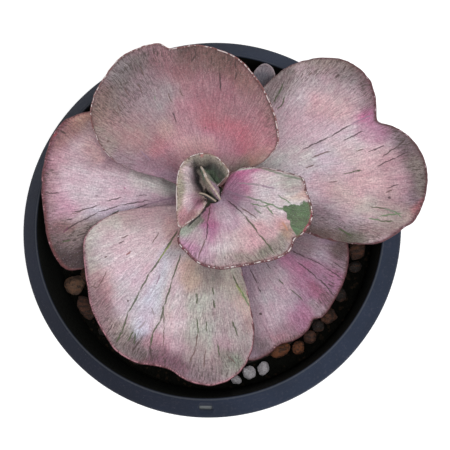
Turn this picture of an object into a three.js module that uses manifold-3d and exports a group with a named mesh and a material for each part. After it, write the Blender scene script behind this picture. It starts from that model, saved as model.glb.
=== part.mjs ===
// A large-leaved echeveria growing in a round nursery pot, in millimetres, Z up.
// The origin is the middle of the pot's base, on the surface that the pot stands on.
// Azimuths are in degrees from +X towards +Y.

import * as THREE from 'three'
import { mergeVertices } from 'three/addons/utils/BufferGeometryUtils.js'
import Module from 'manifold-3d'

const wasm = await Module()
wasm.setup()

// The pot: a sloping flange round the mouth, a skirt under it, a tapered wall and a flat base.
const POT_HEIGHT = 115
const MOUTH_RADIUS = 72.3
const RIM_RADIUS = 80
const RIM_DROP = 6
const SKIRT_DEPTH = 13
const BASE_RADIUS = 56
const WALL = 1.6
const BASE_THICK = 2.4
const POT_SIDES = 60
const DRAIN = { count: 6, radius: 5, reach: 36 }
const HANGER_SLOT = { azimuths: [-90, 30, 150], reach: 76, wide: 5.2, long: 2.2, deep: 0.9 }

// The soil, and the stem that stands in it a little off the middle.
const CLEAR = 0.3
const LEAF_GAP = 0.45
const SOIL_HEIGHT = 95
const STEM = { x: 3, y: 9.6, foot: 70 }
const STEM_PROFILE = [[0, 70], [9, 70], [9, 97], [7.6, 105], [6.4, 114], [4, 121], [2.4, 125.4], [0, 127]]

// The bed of brown stones on the soil, and the white stones lying beside it.
const BED = { reach: 60, top: 98.4, stoneLevel: 98.3, spacing: 6.3, bareRoundStem: 15 }
const STONE_SEED = 4217
// x, y, length, width, height, turn of the brown stones that show past the leaves
const EDGE_STONES = [
  [-59, -24.5, 9.5, 8.5, 6, 20], [-53.5, -34.5, 12, 7, 5.6, 125], [-45.5, -43, 7, 5, 4.6, 60],
  [29.5, -52, 10, 6, 5.4, 25], [37, -51, 6.4, 5.6, 5, 80], [42, -46.5, 6, 5.6, 5, 10],
  [45.5, -42, 5.4, 5, 4.8, 50], [50, -38, 7, 6, 5.2, 30], [54.5, -28.5, 7, 6, 5, 100],
  [62, -10, 8.5, 7.4, 5.6, 70], [61, -17, 6, 5, 4.8, 15], [62, 2, 7, 6, 5, 95]
]
const WHITE_STONES = [
  [11, -64.3, 5, 3.8, 3.8, 150], [16.6, -61.5, 6.2, 5.7, 4.8, 100], [22.5, -59.8, 6.4, 4.9, 4.4, 80]
]

// The leaves, oldest and lowest first. Each grows from an arc on the stem, the foot: first and last
// azimuth, and height. Its margin goes round from the first side to the last: azimuth and reach from
// the stem's middle, and height. The bend is where on the way out the leaf has climbed half its rise,
// at the first side and at the last, and steep is how sharply it climbs there. The crown lifts the
// middle of the blade, and the ripple is the height, number and start of the waves along its edge.
// thick is the blade's thickness at the foot and at the margin. The leaves of the bud start at a
// footReach of their own, above the stem's tip.
const LEAVES = [
  {
    name: 'leaf_1', colour: 0x6f6873, foot: [98, 44, 102.6], thick: [3.2, 1.1],
    bend: [0.5, 0.5], steep: 1, crown: 0.6, ripple: [0.2, 3, 0],
    margin: [
      [96, 12, 104], [90, 28, 107], [80, 42, 111.5], [74, 51, 115.4], [73.2, 55, 117],
      [72.2, 58.6, 117.8], [70, 61.1, 118], [67.2, 61, 118], [64.6, 59.2, 117.8],
      [62.8, 55.4, 116.8], [61, 49, 114.8], [54, 40, 111], [46, 27, 106.5], [44, 12, 104]
    ]
  },
  {
    name: 'leaf_2', colour: 0xb9849b, foot: [-22, -84, 105.2], thick: [3.6, 1.1],
    bend: [0.45, 0.45], steep: 1, crown: 1.2, ripple: [0.7, 6, 0.4],
    margin: [
      [1, 35, 107], [-10, 51, 107], [-18, 58, 107], [-25, 61.4, 107], [-33, 63.6, 107],
      [-47.6, 66, 106], [-50.4, 64.4, 106], [-54.6, 66.4, 105.5], [-60, 67, 105.5], [-66, 66, 105.5],
      [-72, 68, 105.5], [-78, 68, 105.5], [-83, 62, 105.5], [-86, 46, 106], [-90, 20, 106]
    ]
  },
  {
    name: 'leaf_3', colour: 0xc59cae, foot: [148, 206, 109], thick: [3.6, 1.2],
    bend: [0.4, 0.4], steep: 1, crown: 1, ripple: [0.5, 4, 1],
    margin: [
      [138, 15, 111], [136, 37, 115], [138, 54, 118], [144, 64, 119], [152, 72, 120],
      [158, 74, 120], [165, 74, 120], [175, 73, 119.5], [185, 72, 118.5], [194, 72, 117],
      [201, 71, 115.5], [206, 68, 114.5], [208, 59, 113.5], [210, 41, 112], [212, 15, 110]
    ]
  },
  {
    name: 'leaf_4', colour: 0xc4a0a8, foot: [58, -14, 111.2], thick: [3.8, 1.2],
    bend: [0.4, 0.4], steep: 1, crown: 1.5, ripple: [0.5, 5, 0],
    margin: [
      [67, 23, 114], [70, 38, 119], [66, 50, 122], [59, 64, 124], [49, 76, 124],
      [42, 80.4, 123.5], [36, 80.8, 122.8], [31, 78.6, 122.4], [26.6, 75.8, 122], [23.9, 74.6, 122],
      [21, 79, 122], [16.5, 84, 122], [11, 87.2, 122], [5, 88, 121.8], [-1, 86.6, 121.3],
      [-5.6, 84.2, 121], [-8.4, 82.2, 121], [-10, 79.6, 120.8], [-13, 76, 120.6], [-17, 69.5, 120],
      [-21, 51, 118.5], [-20, 33, 117], [-8, 11, 113]
    ]
  },
  {
    name: 'leaf_5', colour: 0xc9aaaa, foot: [208, 282, 113.6], thick: [3.8, 1.2],
    bend: [0.35, 0.35], steep: 1, crown: 1.5, ripple: [0.5, 5, 2],
    margin: [
      [197, 8, 115], [189, 27, 118], [189, 40, 119], [192, 49, 119.5], [197, 56, 119.5],
      [206, 60, 119], [215, 64, 118], [222, 68, 117], [231, 72, 116], [238, 75, 115],
      [245, 75, 114.5], [251, 73.4, 114], [256, 73, 113.8], [260, 75, 113.5], [264, 76.6, 113],
      [270, 77, 113], [276, 74.6, 113.3], [281, 69.8, 114], [286, 61, 115], [289, 47, 116.5],
      [291, 28, 117], [295, 9, 115.5]
    ]
  },
  {
    name: 'leaf_6', colour: 0xa87480, foot: [148, 48, 117.6], thick: [4, 1.3],
    bend: [0.4, 0.4], steep: 1.2, crown: 1.5, ripple: [0.5, 6, 0],
    margin: [
      [161, 14, 120], [160, 27, 123], [161, 39, 125], [158, 48, 126], [148, 59.6, 129],
      [140, 64, 130.5], [131, 66.2, 131.8], [125, 67.4, 133], [119, 67.6, 134], [114, 66.8, 134.5],
      [109, 64.8, 135], [106, 61.4, 135], [102, 60.6, 135.5], [94, 60, 136], [87, 58, 136],
      [78, 55, 136], [69, 50, 135.5], [57, 44, 134.5], [44, 38, 133], [34, 33, 131],
      [31, 26, 129.5], [36, 19, 127], [53, 12, 123]
    ]
  },
  {
    name: 'leaf_7', colour: 0xb9899a, foot: [14, -108, 121.9], thick: [3.6, 1.2],
    bend: [0.35, 0.35], steep: 1.3, crown: 0.6, ripple: [0.4, 7, 1],
    margin: [
      [42, 11, 127.5], [34, 17, 131.5], [20, 25, 133.5], [11, 33, 134.5], [6, 38, 135],
      [-2, 39, 135], [-8, 41, 135], [-16, 43, 135], [-26, 42, 134.5], [-31, 40, 134],
      [-37, 41, 133.5], [-46, 39, 132.5], [-59, 35, 131.5], [-71, 33, 131], [-84, 32, 131],
      [-98, 30, 130.5], [-110, 27, 130], [-121, 25, 130], [-127, 21, 130], [-126, 15, 128.5],
      [-123, 8, 125.5]
    ]
  },
  {
    name: 'leaf_8', colour: 0x9a8585, foot: [-128, -308, 125.4], footReach: 3.3, thick: [2.6, 1.2],
    bend: [0.35, 0.6], steep: 2, crown: 0, ripple: [0.3, 8, 0],
    margin: [
      [-104, 5.2, 131.8], [-108, 8.9, 133], [-116, 13, 134], [-121.6, 16.8, 134.6],
      [-125, 19.1, 134.8], [-129, 19.5, 135], [-135, 18.1, 135.2], [-147, 15.6, 135.8],
      [-167, 13.5, 136.6], [-187, 13.1, 137.3], [-206, 13.8, 138], [-222, 14.5, 138.6],
      [-237, 14.6, 139.2], [-254, 14.3, 139.5], [-266, 14, 139], [-283, 13.2, 138],
      [-301, 12, 136.5], [-317.6, 11, 135.2], [-328, 9, 134]
    ]
  },
  {
    name: 'leaf_9', colour: 0x6d6a5c, foot: [110, -50, 127.6], footReach: 1.5, thick: [4.4, 0.9],
    fading: 4, pinched: true, bend: [0.5, 0.5], steep: 1, crown: 0, ripple: [0, 1, 0],
    margin: [
      [110, 7, 133.4], [110, 9.6, 137], [106, 6.8, 139], [99, 3.5, 139.6], [46, 1.5, 139.4],
      [-21, 2.8, 138.6], [-35, 4.4, 137.4], [-43, 6.4, 135.4], [-44, 5.4, 132.6]
    ]
  },
  {
    name: 'leaf_10', colour: 0x7b6f66, foot: [196, 272, 127.4], footReach: 2.3, thick: [1.2, 0.9],
    bend: [0.5, 0.5], steep: 1, crown: 0, ripple: [0, 1, 0],
    margin: [
      [198, 3.6, 131.6], [198, 4.3, 134.2], [227, 2.7, 135], [284, 3.6, 135], [300, 5.6, 134.2],
      [296, 4.8, 131.8]
    ]
  }
]
const LEAF_COLUMNS = 28
const LEAF_ROWS = 9
const BUD_COLUMNS = 14
const BUD_ROWS = 8
const BUD_REACH = 10

const radians = THREE.MathUtils.degToRad
const mix = THREE.MathUtils.lerp
const smooth = THREE.MathUtils.smoothstep

function material(colour, roughness, metalness = 0) {
  return new THREE.MeshStandardMaterial({ color: colour, roughness, metalness, side: THREE.DoubleSide })
}

function piece(name, geometry, surface) {
  const mesh = new THREE.Mesh(geometry, surface)
  mesh.name = name
  return mesh
}

// Between three's meshes and solids that can be joined and cut.
function solid(geometry) {
  const bare = geometry.index ? geometry.clone() : geometry
  bare.deleteAttribute('normal')
  bare.deleteAttribute('uv')
  const merged = mergeVertices(bare, 1e-3)
  return new wasm.Manifold(new wasm.Mesh({
    numProp: 3,
    vertProperties: new Float32Array(merged.attributes.position.array),
    triVerts: new Uint32Array(merged.index.array)
  }))
}

function geometryOf(body) {
  const mesh = body.getMesh()
  const geometry = new THREE.BufferGeometry()
  geometry.setAttribute('position', new THREE.BufferAttribute(mesh.vertProperties, 3))
  geometry.setIndex(new THREE.BufferAttribute(mesh.triVerts, 1))
  geometry.computeVertexNormals()
  return geometry
}

// A profile of [radius, height] points turned about the vertical.
function turned(profile, sides) {
  const points = profile.map(([r, z]) => new THREE.Vector2(r, z))
  return new THREE.LatheGeometry(points, sides).rotateX(Math.PI / 2)
}

function upright(radius, low, high, x, y, sides) {
  const cylinder = new THREE.CylinderGeometry(radius, radius, high - low, sides)
  return cylinder.rotateX(Math.PI / 2).translate(x, y, (low + high) / 2)
}

// Numbers between 0 and 1 that come in the same order every time.
function draws(seed) {
  let state = seed
  return () => {
    state = (state * 16807) % 2147483647
    return state / 2147483647
  }
}

// The pot's inner wall leans out from the base to the mouth.
function innerRadius(height) {
  return mix(BASE_RADIUS - WALL, MOUTH_RADIUS, height / POT_HEIGHT)
}

function pot() {
  const rimEdge = POT_HEIGHT - RIM_DROP
  const skirtFoot = rimEdge - SKIRT_DEPTH
  const underFlange = POT_HEIGHT - WALL * 1.6
  const profile = [
    [0, 0],
    [BASE_RADIUS - 1.5, 0],
    [BASE_RADIUS, 1.5],
    [innerRadius(underFlange) + WALL, underFlange],
    [RIM_RADIUS - WALL, rimEdge - 1],
    [RIM_RADIUS - WALL, skirtFoot],
    [RIM_RADIUS, skirtFoot],
    [RIM_RADIUS, rimEdge - 0.6],
    [RIM_RADIUS - 0.6, rimEdge + 0.3],
    [MOUTH_RADIUS + 0.9, POT_HEIGHT - 0.2],
    [MOUTH_RADIUS + 0.3, POT_HEIGHT],
    [MOUTH_RADIUS - 0.2, POT_HEIGHT - 0.5],
    [innerRadius(BASE_THICK + 3), BASE_THICK + 3],
    [innerRadius(BASE_THICK) - 3, BASE_THICK],
    [0, BASE_THICK]
  ]
  let body = solid(turned(profile, POT_SIDES))
  for (let i = 0; i < DRAIN.count; i++) {
    const turn = radians((i + 0.5) * 360 / DRAIN.count)
    const hole = upright(DRAIN.radius, -1, BASE_THICK + 1,
      DRAIN.reach * Math.cos(turn), DRAIN.reach * Math.sin(turn), 16)
    body = body.subtract(solid(hole))
  }
  // The hanger slots are shallow and lie along the flange, which falls evenly from its top to its edge.
  const [edge, top] = [profile[8], profile[9]]
  const slope = Math.atan2(top[1] - edge[1], edge[0] - top[0])
  const height = top[1] - (HANGER_SLOT.reach - top[0]) * Math.tan(slope)
  for (const azimuth of HANGER_SLOT.azimuths) {
    const slot = new THREE.BoxGeometry(HANGER_SLOT.long, HANGER_SLOT.wide, 2 * HANGER_SLOT.deep)
    slot.rotateY(slope).translate(HANGER_SLOT.reach, 0, height).rotateZ(radians(azimuth))
    body = body.subtract(solid(slot))
  }
  return piece('pot', geometryOf(body), material(0x2b333f, 0.5))
}

function soil() {
  const floor = BASE_THICK + CLEAR
  const profile = [
    [0, floor],
    [innerRadius(floor) - 3 - 2 * CLEAR, floor],
    [innerRadius(floor + 3) - CLEAR, floor + 3],
    [innerRadius(SOIL_HEIGHT) - CLEAR, SOIL_HEIGHT],
    [0, SOIL_HEIGHT]
  ]
  const hole = upright(STEM_PROFILE[1][0] + CLEAR, STEM.foot - CLEAR, SOIL_HEIGHT + 5, STEM.x, STEM.y, 24)
  const body = solid(turned(profile, POT_SIDES)).subtract(solid(hole))
  return piece('soil', geometryOf(body), material(0x15110e, 1))
}

function stem() {
  const geometry = turned(STEM_PROFILE, 20).translate(STEM.x, STEM.y, 0)
  return piece('stem', geometryOf(solid(geometry)), material(0x6a6048, 0.85))
}

function stemRadius(height) {
  for (let i = 2; i < STEM_PROFILE.length; i++) {
    const [r0, z0] = STEM_PROFILE[i - 1]
    const [r1, z1] = STEM_PROFILE[i]
    if (height < z1) return mix(r0, r1, (height - z0) / (z1 - z0))
  }
  return 0
}

// A stone is a rough ball with a few faces, drawn out to its three sizes, turned and set down.
function stone([x, y, length, width, height, turn], level, detail, draw) {
  const ball = mergeVertices(new THREE.IcosahedronGeometry(1, detail).deleteAttribute('uv')
    .deleteAttribute('normal'), 1e-3)
  const place = ball.attributes.position
  const point = new THREE.Vector3()
  for (let i = 0; i < place.count; i++) {
    point.fromBufferAttribute(place, i).multiplyScalar(0.88 + 0.24 * draw())
    place.setXYZ(i, point.x * length / 2, point.y * width / 2, point.z * height / 2)
  }
  return ball.rotateZ(radians(turn)).translate(x, y, level)
}

function nearListed(x, y, reach) {
  return [...EDGE_STONES, ...WHITE_STONES].some(([a, b, length]) =>
    Math.hypot(x - a, y - b) < reach + length / 2)
}

// The brown bed: a flat layer with a stone wherever a sunflower spiral puts one.
function gravel() {
  const draw = draws(STONE_SEED)
  const low = SOIL_HEIGHT + CLEAR
  let bed = solid(upright(BED.reach, low, BED.top, 0, 0, 40))
  bed = bed.subtract(solid(upright(STEM_PROFILE[1][0] + 2 * CLEAR, low - 1, BED.top + 1, STEM.x, STEM.y, 24)))
  for (const listed of EDGE_STONES) {
    bed = bed.add(solid(stone(listed, low + listed[4] * 0.56, 1, draw)))
  }
  for (let i = 1; BED.spacing * Math.sqrt(i) < BED.reach + 2; i++) {
    const reach = BED.spacing * Math.sqrt(i)
    const turn = i * radians(137.508)
    const x = reach * Math.cos(turn)
    const y = reach * Math.sin(turn)
    const size = [x, y, 8.6 + 3 * draw(), 7.6 + 2.4 * draw(), 4.2 + 1.1 * draw(), 180 * draw()]
    const bare = Math.hypot(x - STEM.x, y - STEM.y) < BED.bareRoundStem
    if (bare || nearListed(x, y, 3)) continue
    bed = bed.add(solid(stone(size, BED.stoneLevel, 0, draw)))
  }
  const whole = bed.decompose().sort((a, b) => b.volume() - a.volume())[0]
  return piece('gravel', geometryOf(whole), material(0x6b4a38, 0.9))
}

function whiteStones() {
  const draw = draws(STONE_SEED + 1)
  return WHITE_STONES.map((size, i) => {
    const shape = stone(size, SOIL_HEIGHT + CLEAR + size[4] * 0.56, 1, draw)
    return piece(`pumice_${i + 1}`, geometryOf(solid(shape)), material(0xb9b7b6, 0.95))
  })
}

function fromStem([azimuth, reach, height]) {
  const turn = radians(azimuth)
  return new THREE.Vector3(STEM.x + reach * Math.cos(turn), STEM.y + reach * Math.sin(turn), height)
}

// How much of its rise a leaf has climbed at a fraction of the way out: half of it at the bend.
function climb(way, bend, steep) {
  const out = Math.pow(way, steep)
  return out / (out + Math.pow((1 - way) * bend / (1 - bend), steep))
}

// The middle sheet of a leaf, as rows from the foot to the margin.
function sheet(leaf, columns, rows) {
  const curve = new THREE.CatmullRomCurve3(leaf.margin.map(fromStem), false, 'centripetal')
  const margin = curve.getSpacedPoints(columns - 1)
  const [first, last, footHeight] = leaf.foot
  const footReach = leaf.footReach ?? stemRadius(footHeight) + LEAF_GAP
  const [ripple, waves, start] = leaf.ripple
  const grid = []
  for (let row = 0; row < rows; row++) {
    const way = row / (rows - 1)
    const line = margin.map((edge, column) => {
      const across = column / (columns - 1)
      const foot = fromStem([mix(first, last, across), footReach, footHeight])
      const bend = mix(leaf.bend[0], leaf.bend[1], smooth(across, 0.4, 0.65))
      const point = foot.clone().lerp(edge, way)
      point.z = mix(footHeight, edge.z, climb(way, bend, leaf.steep))
      point.z += leaf.crown * Math.sin(Math.PI * way) * Math.sin(Math.PI * across)
      point.z += ripple * Math.pow(way, 3) * Math.sin(2 * Math.PI * waves * across + start)
      return point
    })
    grid.push(line)
  }
  return grid
}

// The direction square to the sheet at each of its points.
function squareTo(grid) {
  const rows = grid.length
  const columns = grid[0].length
  return grid.map((line, row) => line.map((point, column) => {
    const out = grid[Math.min(row + 1, rows - 1)][column].clone().sub(grid[Math.max(row - 1, 0)][column])
    const along = line[Math.min(column + 1, columns - 1)].clone().sub(line[Math.max(column - 1, 0)])
    return out.cross(along).normalize()
  }))
}

// A blade thins towards its margin, and a pinched one towards its two sides as well.
function halfThickness(leaf, way, across) {
  const half = mix(leaf.thick[0], leaf.thick[1], Math.pow(way, leaf.fading ?? 0.6)) / 2
  return leaf.pinched ? Math.max(leaf.thick[1] / 2, half * Math.sin(Math.PI * across)) : half
}

// A blade is the sheet thickened to both sides and kept off the stem.
function leafSolid(leaf) {
  const reach = Math.max(...leaf.margin.map((point) => point[1]))
  const columns = reach < BUD_REACH ? BUD_COLUMNS : LEAF_COLUMNS
  const rows = reach < BUD_REACH ? BUD_ROWS : LEAF_ROWS
  const grid = sheet(leaf, columns, rows)
  const square = squareTo(grid)
  const positions = []
  for (const side of [1, -1]) {
    grid.forEach((line, row) => line.forEach((point, column) => {
      const half = halfThickness(leaf, row / (rows - 1), column / (columns - 1))
      const skin = point.clone().addScaledVector(square[row][column], side * half)
      const x = skin.x - STEM.x
      const y = skin.y - STEM.y
      const off = Math.max(1, (stemRadius(skin.z) + LEAF_GAP) / Math.hypot(x, y))
      positions.push(STEM.x + x * off, STEM.y + y * off, skin.z)
    }))
  }
  const count = rows * columns
  const index = []
  const quad = (a, b, c, d) => index.push(a, b, c, a, c, d)
  for (let row = 0; row < rows - 1; row++) {
    for (let column = 0; column < columns - 1; column++) {
      const a = row * columns + column
      quad(a, a + columns, a + columns + 1, a + 1)
      quad(count + a, count + a + 1, count + a + columns + 1, count + a + columns)
    }
  }
  const round = []
  for (let column = 0; column < columns - 1; column++) round.push(column)
  for (let row = 0; row < rows - 1; row++) round.push(row * columns + columns - 1)
  for (let column = columns - 1; column > 0; column--) round.push((rows - 1) * columns + column)
  for (let row = rows - 1; row > 0; row--) round.push(row * columns)
  round.forEach((a, i) => {
    const b = round[(i + 1) % round.length]
    quad(a, b, count + b, count + a)
  })
  const geometry = new THREE.BufferGeometry()
  geometry.setAttribute('position', new THREE.Float32BufferAttribute(positions, 3))
  geometry.setIndex(index)
  return geometry
}

// Margins that go round clockwise give a blade inside out, so its faces are turned over.
function facingOut(geometry) {
  const place = geometry.attributes.position
  const index = geometry.index.array
  const corner = (i) => new THREE.Vector3().fromBufferAttribute(place, index[i])
  let volume = 0
  for (let i = 0; i < index.length; i += 3) {
    volume += corner(i).dot(corner(i + 1).cross(corner(i + 2)))
  }
  if (volume < 0) {
    for (let i = 0; i < index.length; i += 3) {
      [index[i], index[i + 1]] = [index[i + 1], index[i]]
    }
  }
  geometry.computeVertexNormals()
  return geometry
}

function leaves() {
  return LEAVES.map((leaf) => piece(leaf.name, facingOut(leafSolid(leaf)), material(leaf.colour, 0.7)))
}

const plant = new THREE.Group()
plant.name = 'potted_echeveria'
plant.add(pot(), soil(), gravel(), ...whiteStones(), stem(), ...leaves())

export default plant
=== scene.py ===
"""A large-leaved echeveria growing in a round nursery pot, dressed over its solids.

Lengths are in millimetres up to the meshes, which are in metres. The frame is the solids' own:
the origin is the middle of the pot's base, Z is up, and azimuths run from +X towards +Y.
"""
import math

import bpy
import numpy as np
from mathutils import Matrix


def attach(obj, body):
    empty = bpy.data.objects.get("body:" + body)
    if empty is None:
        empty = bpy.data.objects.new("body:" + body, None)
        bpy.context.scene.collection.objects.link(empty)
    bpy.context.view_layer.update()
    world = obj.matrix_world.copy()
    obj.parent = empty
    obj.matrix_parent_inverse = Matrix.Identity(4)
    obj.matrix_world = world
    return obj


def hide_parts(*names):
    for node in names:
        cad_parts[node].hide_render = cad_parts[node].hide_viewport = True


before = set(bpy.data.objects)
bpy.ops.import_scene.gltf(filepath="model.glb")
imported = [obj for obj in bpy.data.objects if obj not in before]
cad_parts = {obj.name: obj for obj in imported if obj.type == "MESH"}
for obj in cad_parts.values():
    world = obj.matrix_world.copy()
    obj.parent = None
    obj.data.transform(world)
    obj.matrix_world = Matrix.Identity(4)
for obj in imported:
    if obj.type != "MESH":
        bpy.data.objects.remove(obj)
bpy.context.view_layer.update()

MM = 0.001

# The camera looks down on the pot from high at the front.
PHOTO_SIDE = 450
CAMERA = {"aim": (7.52, -1.51, 115.0), "away": 413.4, "azimuth": 30.26, "elevation": 78.84}
LENS = {"focal": 80, "sensor": 36}

# The light: a square lamp, in watts and metres, the white surroundings and the glow of the floor.
LAMP = {"energy": 7.5, "size": 0.9, "place": (0.5, -0.45, 1.3)}
SKY_STRENGTH = 0.66
FLOOR = {"half_side": 8.0, "glow": 0.45}

# The pot, as in the solids.
POT_HEIGHT = 115
MOUTH_RADIUS = 72.3
RIM_RADIUS = 80
RIM_DROP = 6
SKIRT_DEPTH = 13
BASE_RADIUS = 56
WALL = 1.6
BASE_THICK = 2.4
DRAIN = {"count": 6, "radius": 5, "reach": 36}
HANGER_SLOT = {"azimuths": (-90, 30, 150), "reach": 76, "wide": 5.2, "long": 2.2, "deep": 0.9}
# The flange's top slopes down from this far outside the mouth and this far below the pot's top.
FLANGE_START = 0.9
FLANGE_DROP = 0.2
FLANGE_FALL = (RIM_DROP - 0.5) / (RIM_RADIUS - 0.6 - MOUTH_RADIUS - FLANGE_START)
FLANGE_LEAN = math.atan(FLANGE_FALL)
POT_SIDES = 240

# The soil, the stem and the stones, as in the solids. A stone's middle lies a share of its height,
# its seat, above the soil.
CLEAR = 0.3
LEAF_GAP = 0.45
SOIL_HEIGHT = 95
STEM_X = 3
STEM_Y = 9.6
STEM_FOOT = 70
STEM_TIP = 126.4
STEM_PROFILE = np.array([
    [0, 70], [9, 70], [9, 97], [7.6, 105], [6.4, 114], [4, 121], [2.4, 125.4], [0, 127]])
BED = {
    "reach": 60, "top": 98.4, "hole": 9.9, "stone_level": 98.3, "spacing": 6.3, "bare_round_stem": 15}
STONE_SEED = 4217
STONE_SEAT = 0.56
GOLDEN_ANGLE = 137.508
# x, y, length, width, height, turn, and the tone, of the brown stones that show past the leaves
EDGE_STONES = [
    (-59, -24.5, 9.5, 8.5, 6, 20, "tan stone"),
    (-53.5, -34.5, 12, 7, 5.6, 125, "brown stone"),
    (-45.5, -43, 7, 5, 4.6, 60, "dark stone"),
    (29.5, -52, 10, 6, 5.4, 25, "rust stone"),
    (37, -51, 6.4, 5.6, 5, 80, "rust stone"),
    (42, -46.5, 6, 5.6, 5, 10, "brown stone"),
    (45.5, -42, 5.4, 5, 4.8, 50, "dark stone"),
    (50, -38, 7, 6, 5.2, 30, "brown stone"),
    (54.5, -28.5, 7, 6, 5, 100, "dark stone"),
    (62, -10, 8.5, 7.4, 5.6, 70, "brown stone"),
    (61, -17, 6, 5, 4.8, 15, "dark stone"),
    (62, 2, 7, 6, 5, 95, "brown stone"),
]
WHITE_STONES = [
    (11, -64.3, 5, 3.8, 3.8, 150),
    (16.6, -61.5, 6.2, 5.7, 4.8, 100),
    (22.5, -59.8, 6.4, 4.9, 4.4, 80),
]

# The finishes' tones, as display colours from 0 to 255.
TONES = {
    "dusty rose": (170, 126, 136), "rose": (180, 106, 118), "blush": (205, 160, 162),
    "petal": (206, 178, 190), "pale petal": (216, 196, 206), "lavender": (200, 198, 214),
    "magenta": (176, 108, 142), "deep magenta": (142, 76, 100), "mauve": (150, 122, 142),
    "peach": (204, 168, 154), "apricot": (192, 140, 120), "olive": (142, 132, 108),
    "grey olive": (134, 124, 114), "pale olive": (186, 177, 168), "pale green": (190, 198, 186),
    "sage": (122, 130, 114), "green": (102, 126, 92), "yellow green": (150, 160, 98),
    "dark green": (72, 82, 54), "dark vein": (74, 56, 60), "red brown": (140, 84, 82),
    "red": (176, 74, 84), "brown": (108, 84, 80), "dark brown": (76, 58, 58),
    "grey": (156, 142, 148), "white": (214, 208, 212), "old leaf": (98, 94, 104),
    "streak": (72, 60, 56), "maroon": (88, 42, 48), "umber": (104, 84, 78),
    "umber grey": (116, 104, 104), "brown rose": (146, 108, 106), "shaded rose": (142, 98, 104),
    "mauve shade": (112, 92, 98), "deep rose": (138, 100, 110), "hot magenta": (188, 106, 148),
    "milk": (206, 200, 198), "dusk petal": (190, 170, 174),
    "green tissue": (74, 78, 60), "dark umber": (88, 68, 64), "clay": (134, 96, 92),
    "tan rose": (152, 130, 126), "orchid rose": (184, 138, 152), "olive umber": (116, 106, 90),
    "grey sage": (160, 152, 144), "stone rose": (144, 120, 124), "wine": (112, 66, 86),
    "shade": (34, 31, 33), "violet shade": (84, 74, 82), "bud olive": (112, 108, 90),
    "bud green": (82, 106, 82), "bright line": (236, 226, 226), "orchid": (186, 130, 164),
    "wine shade": (60, 42, 46), "hot pink": (184, 102, 134), "bud rim": (176, 160, 144),
    "bud skin": (198, 176, 168), "deep green": (84, 94, 76), "raspberry": (196, 84, 112),
    "line pink": (196, 142, 154), "muted rose": (152, 110, 120), "pot shaded": (29, 34, 49),
    "tan stone": (112, 84, 66), "brown stone": (80, 50, 38), "dark stone": (33, 26, 23),
    "rust stone": (112, 64, 36), "pumice": (206, 203, 208), "soil": (15, 16, 12),
    "pot": (42, 50, 67), "pot inside shade": (23, 24, 22), "pot pale grey": (110, 114, 116),
}

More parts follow.
